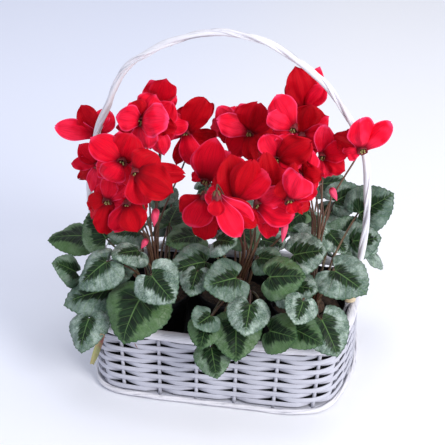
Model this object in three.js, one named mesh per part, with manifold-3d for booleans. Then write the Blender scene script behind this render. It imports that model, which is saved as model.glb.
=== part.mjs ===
// Cyclamens in a wicker basket with a high twisted handle.
// Millimetres, +Z up, the front is -Y. The origin is the centre of the base's underside.

import * as THREE from "three";
import { mergeVertices } from "three/addons/utils/BufferGeometryUtils.js";
import Module from "manifold-3d";

const wasm = await Module();
wasm.setup();

// ---------------------------------------------------------------- driving dimensions

const WALL_TOP = 82; // height at which the wall's outline f = 1 is reached
const BASE = { reach: 149, bow: 22, deep: 138 }; // stake line at the base
const TOP = { reach: 157, bow: 15, deep: 126 }; // stake line at the rim
const CORNER_POWER = 8; // squareness of the basket's corners
const PLATE = 6; // base plate thickness
const PLATE_OUT = 0.4; // how far the plate reaches past the stake line

const STAKE_RADIUS = 2.5;
const STAKE_TOP = 81.1;
const STAKES_FRONT = [-118, -68, -18, 34, 87, 137];
const STAKES_ROUND = 19; // the stakes of both ends and the back

const ROWS = 10;
const ROW_PITCH = 6.6;
const STRIP = { high: 5.9, thick: 1.5, clear: 0.55, from: 12.1, low: 9, top: 81, ends: [18, 17] };

const RIM = { z: 88.7, big: 6.9, small: 5.6, turns: 5, steps: 48 };
const FOOT = { z: 4.7, out: 8.1, big: 3.5, small: 2.7, turns: 4, steps: 34 };
const LINER = { out: -6.5, thick: 0.7, low: 6.4, high: 81.2 };

const HANDLE = { big: 5.2, small: 4.0, pitch: 150, steps: 52, foot: 7 };
const HANDLE_PATH = [
  [-158.3, 7], [-158.3, 77], [-159.3, 86], [-163, 95], [-168, 107], [-179, 140], [-190, 180],
  [-195, 220], [-192, 250], [-179, 320], [-163, 355], [-154, 377], [-143, 399], [-127, 417],
  [-109, 429], [-83, 444], [-55, 454], [-34, 460], [-10, 463], [14, 461], [40, 456], [63, 446],
  [83, 433], [103, 419], [121, 404], [135, 387], [150, 366], [164, 341], [174, 315], [179, 290],
  [182, 250], [183, 222], [181, 195], [178, 165], [173, 130], [168, 107], [163, 95], [159.3, 86],
  [158.3, 77], [158.3, 7],
];
const BINDING = { z: 101.5, x: 165.7, inner: 7.4, outer: 8.9, high: 8 };

const POT = { lip: 50, lipLow: 102, top: 112, foot: 36, shoulder: 47.5, low: 6.5, wall: 1.4 };
const SOIL = { low: 8.6, top: 103.5, gap: 0.5 };
const HOLE = { radius: 22.8, low: 95.2 };
const CORM = { low: 95.8, top: 112.2 };
const CROWN = { inner: 9.6, outer: 15.5, low: 112.1, high: 117.4 };

const BLADE = 1.0; // leaf thickness across the blade's own plane
const PETAL = 0.95; // petal thickness
const PETAL_STEP = 1.7; // petals lie in layers this far apart
const PETAL_DEPTH = 2; // times the depth listed for each petal's tip
const PETIOLE_RADIUS = 1.6;
const STALK_RADIUS = 1.35;
const STALK_STATIONS = [0, 1, 2, 2.5, 3, 3.6, 4, 5]; // where a stalk's curve is sampled

const WICKER = { color: 0xe9e2e4, roughness: 0.55, metalness: 0 };
const CANE = { color: 0xd9c9a8, roughness: 0.6, metalness: 0 };
const BLACK = { color: 0x0d0d10, roughness: 0.45, metalness: 0 };
const SOIL_BROWN = { color: 0x2a1d15, roughness: 0.95, metalness: 0 };
const LEAF = { color: 0x4c6a4a, roughness: 0.55, metalness: 0 };
const STALK = { color: 0x5a3527, roughness: 0.6, metalness: 0 };
const RED = { color: 0xc4101c, roughness: 0.6, metalness: 0 };

// ---------------------------------------------------------------- plants

// Pot centres and the crown of each plant, in mm.
const PLANTS = {
  left: { pot: [-96, -48], crown: [-90, -54] },
  middle: { pot: [12, -26], crown: [18, -32] },
  right: { pot: [114, -40], crown: [116, -36] },
};

// Leaves and flowers are laid out as seen from the front right: across and down in a square
// view of 445 units, with the depth y in mm. sight() turns such a place into mm.
const SIGHT = { turn: 11.5, tilt: 26.5, away: 1600, focal: 1189.3, middle: 222.5 };
SIGHT.aim = { right: -9.8, up: -1.31, z: 200 };

// Leaves: name, plant, where the stalk meets the blade, the tip, then
// wide (times the midrib), facing (0 follows the foliage dome, 1 faces the viewer), arch, cup.
const LEAVES = [
  ["A", "left", [106, 262, -118], [77, 288, -140], 1.0, 0.3, 0.05, 0.1],
  ["B", "left", [152, 276, -150], [174.5, 303, -176], 1.05, 0.3, 0.06, 0.12],
  ["C", "left", [89, 319, -143], [80, 353, -176], 1.0, 0.4, 0.06, 0.1],
  ["D", "left", [140, 299, -142], [122, 344, -178], 1.15, 0.4, 0.1, 0.2],
  ["E", "left", [84, 236, -15], [47, 238, -30], 1.05, 0.3, 0.04, 0.05],
  ["F", "left", [106, 238, -45], [88, 213, -25], 1.1, 0.5, 0.04, 0.08],
  ["G", "left", [76, 272, -88], [54, 262, -111], 0.95, 0.3, 0.03, 0.05],
  ["H", "left", [114, 289, -104], [62, 303, -128], 0.85, 0.3, 0.06, 0.12],
  ["h2", "left", [138, 231, -40], [107, 235, -60], 1.0, 0.4, 0.06, 0.08],
  ["I", "left", [137, 251, -94], [112, 256, -124], 1.0, 0.3, 0.05, 0.1],
  ["GG", "left", [170, 222, -22], [180, 203, 16], 1.1, 0.5, 0.04, 0.08],
  ["K2", "middle", [195, 236, -46], [166, 243, -74], 1.05, 0.3, 0.05, 0.1],
  ["DD", "middle", [205, 262, -88], [168, 272, -112], 1.0, 0.3, 0.06, 0.1],
  ["dd2", "middle", [197, 272, -112], [190, 296, -142], 1.0, 0.3, 0.04, 0.1],
  ["V", "middle", [210, 316, -160], [194, 327, -190], 1.0, 0.4, 0.03, 0.06],
  ["U", "middle", [207, 322, -156], [200, 349, -190], 0.95, 0.4, 0.05, 0.1],
  ["T", "middle", [211.5, 348, -163], [217, 378.6, -195], 0.95, 0.5, 0.05, 0.1],
  ["J", "middle", [236, 278, -117], [203, 287, -144], 1.1, 0.3, 0.05, 0.1],
  ["K", "right", [260, 258, -90], [281.6, 261.6, -103], 1.1, 0.3, 0.04, 0.1],
  ["L", "right", [270, 277, -126], [305, 276, -134], 1.0, 0.4, 0.05, 0.1],
  ["M", "right", [294, 255, -69], [327.6, 250, -74], 1.1, 0.4, 0.05, 0.1],
  ["N", "right", [335, 271, -74], [367, 294, -97], 1.15, 0.4, 0.05, 0.12],
  ["O", "right", [285, 285, -98], [318, 290, -114], 1.0, 0.3, 0.05, 0.1],
  ["P", "right", [303, 302, -146], [295, 325, -178], 1.0, 0.3, 0.04, 0.08],
  ["Q", "middle", [270, 331, -152], [296, 338, -176], 1.0, 0.4, 0.04, 0.08],
  ["S2", "right", [292, 328, -146], [323, 344, -164], 0.9, 0.4, 0.04, -0.2],
  ["S", "right", [322, 320, -128], [338.4, 356.7, -154], 1.05, 0.5, 0.05, 0.1],
  ["W", "middle", [250, 305, -147], [244.6, 336, -186], 1.0, 0.4, 0.04, 0.15],
  ["X", "middle", [236, 323, -146], [236, 362, -182], 1.05, 0.5, 0.05, 0.12],
  ["Y1", "right", [309, 217, 36], [323, 235.5, 2], 1.2, 0.5, 0.04, 0.06],
  ["Y2", "right", [322, 212, 72], [347, 215, 64], 1.1, 0.5, 0.04, 0.06],
  ["Z", "right", [336, 201, 60], [361, 187, 70], 1.05, 0.7, 0.04, 0.06],
  ["AA", "right", [359.5, 213, 42], [393, 194, 36], 0.95, 1, 0.02, 0.05],
  ["BB", "right", [353, 241, 26], [381, 238, 22], 1.1, 1, 0.03, 0.05],
  ["CC", "right", [340, 226, 52], [350, 237, 42], 1.3, 0.8, 0.03, 0.05],
  ["EE", "right", [322, 184, 100], [347, 182, 95], 1.1, 0.6, 0.03, 0.05],
  ["DDc", "middle", [218, 240, -80], [235, 243, -102], 1.1, 0.4, 0.04, 0.1],
  ["FF", "left", [199, 190, 100], [213, 184, 105], 1.2, 0.6, 0.03, 0.05],
  ["n1", "left", [166, 190, 34], [151, 208, 12], 1.1, 0.5, 0.04, 0.08],
  ["n2", "left", [120, 262, -62], [124, 284, -86], 1.15, 0.4, 0.04, 0.08],
  ["n3", "middle", [240, 232, -16], [256, 246, -40], 1.15, 0.5, 0.04, 0.08],
  ["n4", "middle", [262, 240, -6], [285, 247, -24], 1.1, 0.5, 0.04, 0.08],
  ["n5", "right", [330, 234, 20], [346, 254, 4], 1.15, 0.5, 0.04, 0.08],
  ["n6", "right", [300, 214, 26], [282, 228, 6], 1.1, 0.5, 0.04, 0.08],
];

// Leaves behind the flowers stand in tiers along x: x at the stalk, depth, height, reach, drop.
const BACK = {
  inner: { from: -146, step: 49, count: 7, y: 20, z: 186, out: 30, drop: -30, seed: 180 },
  upper: { from: -172, step: 68, count: 6, y: 58, z: 178, out: 44, drop: 14, seed: 0 },
  lower: { from: -178, step: 70, count: 6, y: 92, z: 142, out: 40, drop: 34, seed: 90 },
};

// Flower stalks gather into bunches above the foliage.
const BUNCH = {
  left: [150, 236, -66],
  middle: [249, 250, -70],
  right: [318, 215, -10],
};

// Blooms: name, plant, mouth of the nose, the way from mouth to calyx, then the petals:
// tip across, tip down, tip depth less the mouth's, width in mm, bow towards the viewer.
const BLOOMS = [
  ["B1", "left", [97, 135, 30], [0, 0.85, 0.45], [
    [57, 126, -4, 22, 4], [82, 107, 4, 21, 5], [101, 109, 8, 18, 4],
    [113, 114, 8, 20, 3]]],
  ["B2", "left", [160, 108, 34], [0, 0.85, 0.45], [
    [149, 82, 0, 24, 6], [164, 80, -5, 26, 7], [176, 97, 6, 14, 3],
    [142, 103, 8, 20, 4]]],
  ["B3", "left", [141, 121, -38], [0.1, 1, 0.15], [
    [118, 115, -6, 25, 8], [130, 104, 4, 26, 6], [158, 98, 5, 30, 6],
    [167, 122, -8, 32, 8], [146, 147, 4, 26, 5]]],
  ["B5", "left", [156, 126, 4], [0, 0.85, 0.45], [
    [174, 104, 4, 26, 5], [186, 119, 4, 24, 5], [176, 128, -6, 18, 5],
    [164, 154, -4, 20, 6], [150, 148, 2, 22, 5]]],
  ["B4", "left", [186, 133, 24], [0, 0.85, 0.45], [
    [203, 98, 0, 27, 6], [187, 106, 6, 25, 5], [212, 103, 8, 16, 3],
    [178, 164, -2, 14, 3], [192, 165, -8, 22, 5]]],
  ["B6", "left", [122, 162, -86], [-0.1, 1, 0.1], [
    [95, 136, 2, 28, 8], [118, 132, 8, 20, 4], [134, 136, 4, 30, 6],
    [131, 185, -2, 16, 4], [109, 181, -4, 26, 9]]],
  ["B7", "left", [136, 172, -110], [-0.2, 0.9, 0.5], [
    [153, 152, 6, 30, 8], [184, 174, 8, 20, 4], [172, 189, -4, 32, 9],
    [143, 204, -2, 28, 7]]],
  ["B8", "left", [98, 164, -18], [0.2, 0.85, 0.45], [
    [80, 145, -3, 20, 6], [73, 163, -4, 14, 4], [94, 144, 3, 18, 4],
    [91, 190, 1, 16, 3]]],
  ["B9", "left", [107, 200, -78], [-0.2, 0.8, 0.5], [
    [88, 200, 2, 17, 5], [112, 176, 0, 18, 5], [125, 183, 4, 18, 5],
    [89, 208, 8, 14, 4], [109, 232, 2, 26, 6]]],
  ["B10", "left", [128, 204, -84], [0.1, 0.85, 0.45], [
    [118, 232, 0, 24, 6], [139, 230, -6, 28, 6], [147, 207, 6, 18, 4],
    [112, 196, 8, 20, 3]]],
  ["C15", "middle", [204, 198, -70], [0.1, 0.25, 1], [
    [182, 213, -4, 26, 6], [196, 227, -10, 28, 8], [206, 239, -2, 24, 5],
    [217, 230, 6, 18, 4]]],
  ["C14", "middle", [217, 198, -128], [-0.1, 0.25, 1], [
    [238, 236, -2, 22, 5], [247, 226, 6, 26, 5], [216, 216, -4, 16, 4],
    [258, 221, 8, 22, 4]]],
  ["C5", "middle", [206, 180, -20], [0.1, 0.85, 0.45], [
    [217, 140, -4, 34, 8], [200, 148, 4, 24, 5], [228, 153, 2, 22, 5],
    [194, 172, 4, 16, 4]]],
  ["C6", "middle", [236, 200, -96], [0.1, 0.85, 0.45], [
    [228, 157, 4, 28, 7], [250, 161, -4, 26, 8], [264, 173, -2, 26, 7],
    [207, 193, 8, 22, 5], [241, 158, 8, 20, 3]]],
  ["C7", "middle", [272, 196, -72], [0, 0.85, 0.45], [
    [264, 154, 0, 22, 6], [284, 169, 2, 26, 5],
    [291, 186, 6, 22, 5], [259, 206, 4, 18, 4]]],
  ["C8", "middle", [277, 160, -52], [0.1, 1, 0.1], [
    [309, 142, -4, 28, 7], [268, 134, 4, 24, 5], [290, 134, 4, 22, 5],
    [299, 168, -4, 18, 5], [262, 168, 6, 18, 4]]],
  ["C13", "middle", [258, 204, -92], [-0.3, 0.85, 0.45], [
    [286, 191, 0, 20, 6], [293, 217, -4, 30, 8], [262, 224, 0, 22, 5],
    [273, 236, 6, 20, 4]]],
  ["C3", "middle", [249, 132, 30], [0, 0.85, 0.45], [
    [262, 105, -2, 34, 7], [241, 104, 4, 22, 5], [218, 120, -6, 24, 7],
    [259, 160, -2, 26, 5], [273, 140, 6, 22, 4]]],
  ["C3b", "middle", [232, 128, 66], [-0.1, 0.85, 0.45], [
    [218, 109, -2, 22, 5], [234, 106, 6, 20, 4], [211, 126, 4, 20, 4],
    [225, 142, -2, 22, 5], [240, 118, 5, 18, 3]]],
  ["C1a", "right", [305, 110, 66], [0, 0.85, 0.45], [
    [299, 68, 0, 30, 7], [320, 86, -2, 22, 5], [289, 82, 2, 20, 5],
    [319, 68, 8, 20, 4]]],
  ["C1b", "right", [303, 136, 34], [0, 0.8, 0.5], [
    [305, 105, 2, 36, 6], [329, 119, 2, 20, 4], [332, 138, -4, 24, 6],
    [287, 148, -2, 20, 5], [311, 158, 1, 20, 4]]],
  ["C2", "right", [293, 128, -8], [0, 0.85, 0.45], [
    [276, 97, 0, 27, 6], [269, 114, -4, 20, 5],
    [274, 130, 2, 20, 4], [289, 153, 4, 18, 4]]],
  ["C9", "right", [301, 174, -44], [-0.2, 0.85, 0.45], [
    [314, 152, 0, 22, 6], [320, 171, -2, 22, 6], [302, 150, 6, 20, 4],
    [313, 192, 2, 20, 4], [288, 164, 3, 18, 4]]],
  ["C12", "right", [290, 200, -112], [-0.1, 0.85, 0.45], [
    [303, 177, -2, 30, 7], [292, 163, 6, 12, 5], [314, 185, 8, 20, 4],
    [281, 181, 4, 22, 5], [296, 212, -1, 16, 4]]],
  ["C10", "right", [323, 156, -12], [-0.1, 0.85, 0.45], [
    [329, 127, 2, 22, 5], [352, 148, -4, 21, 6], [345, 168, -2, 20, 5],
    [325, 177, 0, 18, 5]]],
  ["C11", "right", [362, 149, -36], [-0.3, 0.85, 0.45], [
    [359, 120, -2, 27, 7], [391, 125, 0, 19, 5], [335, 138, 4, 20, 5],
    [348, 130, 5, 20, 4], [344, 153, 2, 18, 4]]],
];

// Buds: plant, place of the bud's base, its tip, its width in mm.
const BUDS = [
  ["left", [147, 239, -88], [141, 249, -94], 8],
  ["left", [156, 209, -92], [154, 227, -94], 10],
  ["middle", [286, 222, -98], [282, 243, -104], 8],
  ["right", [331, 188, -48], [337, 201, -54], 9],
];

// ---------------------------------------------------------------- helpers

const V = (x, y, z) => new THREE.Vector3(x, y, z);
const UP = V(0, 0, 1);

/** A repeatable stream of numbers from 0 to 1. */
function stream(seed) {
  let s = seed >>> 0;
  return () => {
    s = (Math.imul(s, 1664525) + 1013904223) >>> 0;
    return s / 4294967296;
  };
}

const turn = THREE.MathUtils.degToRad(SIGHT.turn);
const tilt = THREE.MathUtils.degToRad(SIGHT.tilt);
const ahead = V(-Math.sin(turn) * Math.cos(tilt), Math.cos(turn) * Math.cos(tilt), -Math.sin(tilt));
const across = V(Math.cos(turn), Math.sin(turn), 0);
const above = across.clone().cross(ahead);
const eye = V(0, 0, SIGHT.aim.z)
  .addScaledVector(across, SIGHT.aim.right)
  .addScaledVector(above, SIGHT.aim.up)
  .addScaledVector(ahead, -SIGHT.away);

/** The point in mm seen at (u, v) at depth y. */
function sight([u, v, y]) {
  const ray = ahead.clone()
    .addScaledVector(across, (u - SIGHT.middle) / SIGHT.focal)
    .addScaledVector(above, (SIGHT.middle - v) / SIGHT.focal);
  return eye.clone().addScaledVector(ray, (y - eye.y) / ray.y);
}

/** A closed surface from points and triangles, turned so that it faces out. */
function surface(points, faces) {
  let volume = 0;
  for (const [a, b, c] of faces) {
    volume += points[a].dot(points[b].clone().cross(points[c]));
  }
  const index = faces.flatMap(([a, b, c]) => (volume > 0 ? [a, b, c] : [a, c, b]));
  const geometry = new THREE.BufferGeometry();
  const flat = points.flatMap((p) => [p.x, p.y, p.z]);
  geometry.setAttribute("position", new THREE.Float32BufferAttribute(flat, 3));
  geometry.setIndex(index);
  return geometry;
}

/** Rings of points joined into a tube, closed on itself or capped at both ends. */
function loft(rings, closed = false) {
  const m = rings[0].length;
  const n = rings.length;
  const points = rings.flat();
  const faces = [];
  for (let i = 0; i < (closed ? n : n - 1); i += 1) {
    const a = i * m;
    const b = ((i + 1) % n) * m;
    for (let j = 0; j < m; j += 1) {
      const k = (j + 1) % m;
      faces.push([a + j, a + k, b + k], [a + j, b + k, b + j]);
    }
  }
  if (!closed) {
    for (const [start, flip] of [[0, true], [(n - 1) * m, false]]) {
      for (let j = 1; j < m - 1; j += 1) {
        const face = [start, start + j, start + j + 1];
        faces.push(flip ? [face[0], face[2], face[1]] : face);
      }
    }
  }
  return surface(points, faces);
}

/** A merged copy of a geometry with only its positions. */
function plain(geometry) {
  const copy = geometry.clone();
  for (const name of Object.keys(copy.attributes)) {
    if (name !== "position") {
      copy.deleteAttribute(name);
    }
  }
  return mergeVertices(copy, 1e-4);
}

/** The manifold solid of a geometry. */
function solidOf(geometry) {
  const merged = plain(geometry);
  const mesh = new wasm.Mesh({
    numProp: 3,
    vertProperties: new Float32Array(merged.attributes.position.array),
    triVerts: new Uint32Array(merged.index.array),
  });
  return new wasm.Manifold(mesh);
}

/** The geometry of a manifold solid. */
function geometryOf(solid) {
  const mesh = solid.getMesh();
  const geometry = new THREE.BufferGeometry();
  const flat = [];
  for (let i = 0; i < mesh.vertProperties.length; i += mesh.numProp) {
    flat.push(...mesh.vertProperties.slice(i, i + 3));
  }
  geometry.setAttribute("position", new THREE.Float32BufferAttribute(flat, 3));
  geometry.setIndex([...mesh.triVerts]);
  return geometry;
}

/** All the geometries joined into one. */
function fuse(geometries) {
  let whole = solidOf(geometries[0]);
  for (const geometry of geometries.slice(1)) {
    whole = whole.add(solidOf(geometry));
  }
  return geometryOf(whole);
}

/** A smooth run of points through the given ones. */
function smooth(points, count) {
  return new THREE.CatmullRomCurve3(points, false, "centripetal").getSpacedPoints(count);
}

/** A slim tube with flat sides along points, narrower towards its end. */
function stem(points, radius, sides, end = 1) {
  const rings = points.map((p, i) => {
    const before = points[Math.max(i - 1, 0)];
    const after = points[Math.min(i + 1, points.length - 1)];
    const along = after.clone().sub(before).normalize();
    const ref = Math.abs(along.z) > 0.9 ? V(0, 1, 0) : UP;
    const side = ref.clone().cross(along).normalize();
    const other = along.clone().cross(side);
    const r = radius * THREE.MathUtils.lerp(1, end, i / (points.length - 1));
    return Array.from({ length: sides }, (_, j) => {
      const a = (j / sides) * Math.PI * 2;
      return p.clone()
        .addScaledVector(side, r * Math.cos(a))
        .addScaledVector(other, r * Math.sin(a));
    });
  });
  return loft(rings);
}

/** A five-sided body along points whose radius changes by the given shares. */
function spindle(points, shares, radius) {
  const along = points.at(-1).clone().sub(points[0]).normalize();
  const side = V(0, 1, 0).cross(along).normalize();
  const other = along.clone().cross(side);
  return loft(points.map((p, i) => Array.from({ length: 5 }, (_, j) => {
    const a = (j / 5) * Math.PI * 2;
    return p.clone()
      .addScaledVector(side, radius * shares[i] * Math.cos(a))
      .addScaledVector(other, radius * shares[i] * Math.sin(a));
  })));
}

// ---------------------------------------------------------------- basket

/** A point of the basket's outline at angle a, height share f and distance out. */
function outline(a, f, out = 0) {
  const c = Math.cos(a);
  const s = Math.sin(a);
  const r = (Math.abs(c) ** CORNER_POWER + Math.abs(s) ** CORNER_POWER) ** (-1 / CORNER_POWER);
  const q = r * s;
  const reach = THREE.MathUtils.lerp(BASE.reach, TOP.reach, f) + out;
  const bow = THREE.MathUtils.lerp(BASE.bow, TOP.bow, f) * Math.cos((Math.PI * q) / 2);
  const deep = THREE.MathUtils.lerp(BASE.deep, TOP.deep, f) + out;
  return V((reach + bow) * r * c, deep * q, f * WALL_TOP);
}

/** Angles that divide the outline from one angle to another into equal lengths. */
function divide(from, to, count, f) {
  const fine = 1440;
  const angles = Array.from({ length: fine + 1 }, (_, i) => from + (i / fine) * (to - from));
  const run = [0];
  for (let i = 1; i <= fine; i += 1) {
    run.push(run[i - 1] + outline(angles[i], f).distanceTo(outline(angles[i - 1], f)));
  }
  return Array.from({ length: count }, (_, k) => {
    const want = (k / count) * run[fine];
    return angles[run.findIndex((r) => r >= want)];
  });
}

/** Angles that divide the whole outline into equal lengths. */
function spread(count, f) {
  return divide(0, Math.PI * 2, count, f);
}

/** The stakes' angles, counter-clockwise from the front left. */
function stakeAngles() {
  const reach = (BASE.reach + TOP.reach) / 2;
  const rest = (q) => (1 - Math.abs(q) ** CORNER_POWER) ** (1 / CORNER_POWER);
  const front = STAKES_FRONT.map((x) => Math.atan2(-rest(x / reach), x / reach));
  const last = front[front.length - 1];
  const around = divide(last, front[0] + Math.PI * 2, STAKES_ROUND + 1, 0.5);
  return [...front, ...around.slice(1)];
}

/** The direction square to the outline at an angle. */
function outward(a, f) {
  const step = 0.004;
  const along = outline(a + step, f).sub(outline(a - step, f)).normalize();
  return V(along.y, -along.x, 0).normalize();
}

function basketFrame(angles) {
  const shape = new THREE.Shape(spread(FOOT.steps, 0).map((a) => {
    const p = outline(a, 0, PLATE_OUT);
    return new THREE.Vector2(p.x, p.y);
  }));
  const plate = new THREE.ExtrudeGeometry(shape, { depth: PLATE, bevelEnabled: false });
  const parts = [plate];
  for (const a of angles) {
    const low = outline(a, 3 / WALL_TOP);
    const high = outline(a, STAKE_TOP / WALL_TOP);
    parts.push(stem([low, high], STAKE_RADIUS, 5));
  }
  return fuse(parts);
}

/** How far the strip stands off a stake, more where it turns a corner. */
function weaveSwing(a, before, after) {
  const here = outline(a, 0.5);
  const normal = outward(a, 0.5);
  const steep = [before, after].map((other) => {
    const way = outline(other, 0.5).sub(here).setZ(0);
    const far = way.length();
    return Math.asin(Math.abs(way.dot(normal)) / far) + Math.atan(8 / far);
  });
  return (STAKE_RADIUS + STRIP.thick / 2 + STRIP.clear) / Math.cos(Math.max(...steep));
}

/** One strip wound round the stakes, cut slanting at both ends so that the wall is level. */
function basketWeave(angles) {
  const random = stream(11);
  const rings = [];
  const swings = angles.map((a, i) => weaveSwing(a, angles.at(i - 1), angles[(i + 1) % angles.length]));
  const count = angles.length;
  for (let i = -STRIP.ends[0]; i <= ROWS * count + STRIP.ends[1]; i += 1) {
    const at = (i + count) % count;
    const middle = STRIP.from + (ROW_PITCH * i) / count + (random() - 0.5) * 0.3;
    const low = Math.max(middle - STRIP.high / 2, STRIP.low);
    const top = Math.min(middle + STRIP.high / 2, STRIP.top);
    const z = (low + top) / 2;
    const f = z / WALL_TOP;
    const normal = outward(angles[at], f);
    const centre = outline(angles[at], f).addScaledVector(normal, swings[at] * (i % 2 === 0 ? 1 : -1));
    centre.z = z;
    rings.push([[-1, -1], [1, -1], [1, 1], [-1, 1]].map(([n, h]) => centre.clone()
      .addScaledVector(normal, (n * STRIP.thick) / 2)
      .addScaledVector(UP, (h * (top - low)) / 2)));
  }
  return loft(rings);
}

/** A twisted border round the basket. */
function border(spec, f, lift) {
  const angles = spread(spec.steps, f);
  const rings = angles.map((a, i) => {
    const normal = outward(a, f);
    const centre = outline(a, f, 0).addScaledVector(normal, spec.out ?? 0);
    centre.z = spec.z + lift(centre);
    const twist = (i / spec.steps) * spec.turns * Math.PI * 2;
    return Array.from({ length: 6 }, (_, j) => {
      const r = j % 2 === 0 ? spec.big : spec.small;
      const b = twist + (j * Math.PI) / 3;
      return centre.clone()
        .addScaledVector(normal, r * Math.cos(b))
        .addScaledVector(UP, r * Math.sin(b));
    });
  });
  return loft(rings, true);
}

function basketRim() {
  let rim = solidOf(border(RIM, 1, () => 0));
  for (const side of [-1, 1]) {
    const notch = new THREE.BoxGeometry(16, 12.4, 20);
    notch.translate(side * 162.6, 0, RIM.z);
    rim = rim.subtract(solidOf(notch));
  }
  return geometryOf(rim);
}

function basketFoot() {
  const wave = (p) => 0.35 * Math.sin(p.x / 19) + 0.3 * Math.sin(p.y / 23 + 1);
  return border(FOOT, 0, (p) => wave(p));
}

function basketHandle() {
  const points = smooth(HANDLE_PATH.map(([x, z]) => V(x, 0, z)), HANDLE.steps);
  let run = 0;
  const rings = points.map((p, i) => {
    run += i > 0 ? p.distanceTo(points[i - 1]) : 0;
    const before = points[Math.max(i - 1, 0)];
    const after = points[Math.min(i + 1, points.length - 1)];
    const along = after.clone().sub(before).normalize();
    const side = V(0, 1, 0);
    const other = along.clone().cross(side);
    return Array.from({ length: 6 }, (_, j) => {
      const r = j % 2 === 0 ? HANDLE.big : HANDLE.small;
      const b = (run / HANDLE.pitch) * Math.PI * 2 + (j * Math.PI) / 3;
      return p.clone()
        .addScaledVector(side, r * Math.cos(b))
        .addScaledVector(other, r * Math.sin(b));
    });
  });
  return loft(rings);
}

function binding() {
  const { inner, outer, high } = BINDING;
  const profile = [[inner, 0], [outer - 0.3, 0], [outer, high * 0.5],
    [outer - 0.3, high], [inner, high], [inner, 0]];
  return plain(new THREE.LatheGeometry(profile.map(([r, z]) => new THREE.Vector2(r, z)), 9)
    .rotateX(Math.PI / 2).translate(0, 0, -high / 2));
}

function liner() {
  const angles = spread(22, 0.5);
  const ends = [LINER.low / WALL_TOP, LINER.high / WALL_TOP];
  const rings = angles.map((a) => [
    outline(a, ends[0], LINER.out), outline(a, ends[0], LINER.out - LINER.thick),
    outline(a, ends[1], LINER.out - LINER.thick), outline(a, ends[1], LINER.out),
  ]);
  return loft(rings, true);
}

// ---------------------------------------------------------------- pots and soil

/** A turned body about +Z from [radius, height] pairs that start and end on the axis. */
function lathe(profile, segments) {
  const points = profile.map(([r, z]) => new THREE.Vector2(r, z));
  return plain(new THREE.LatheGeometry(points, segments).rotateX(Math.PI / 2));
}

/** The pot's outer radius at a height. */
function potRadius(z) {
  return THREE.MathUtils.mapLinear(z, POT.low, POT.lipLow, POT.foot, POT.shoulder);
}

function pot() {
  const { lip, lipLow, top, low, wall } = POT;
  return lathe([
    [0, low], [potRadius(low), low], [potRadius(lipLow), lipLow], [lip, lipLow], [lip, top],
    [lip - wall, top], [lip - wall - 0.6, lipLow + 1.5], [potRadius(low) - wall, low + wall],
    [0, low + wall],
  ], 12);
}

function soil(hole) {
  const rim = (z) => potRadius(z) - POT.wall - SOIL.gap;
  const body = solidOf(lathe([
    [0, SOIL.low], [rim(SOIL.low), SOIL.low], [rim(SOIL.top - 3), SOIL.top - 3],
    [rim(SOIL.top - 3) - 4, SOIL.top], [0, SOIL.top - 1.5],
  ], 12));
  const cut = lathe([
    [0, HOLE.low], [HOLE.radius, HOLE.low], [HOLE.radius, SOIL.top + 5], [0, SOIL.top + 5],
  ], 8);
  cut.translate(hole[0], hole[1], 0);
  return geometryOf(body.subtract(solidOf(cut)));
}

// ---------------------------------------------------------------- leaves

// Half the blade's edge in parts of the midrib: along it, then out from it, scalloped.
const LEAF_EDGE = [[-0.06, 0.045], [-0.31, 0.27], [-0.11, 0.56], [0.34, 0.6], [0.72, 0.35]];

/** The middle of the foliage dome's direction at a point. */
function domeNormal(p) {
  return V(p.x * 0.7, p.y + 5, 150 + 0.4 * (p.z - 150)).normalize();
}

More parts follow.
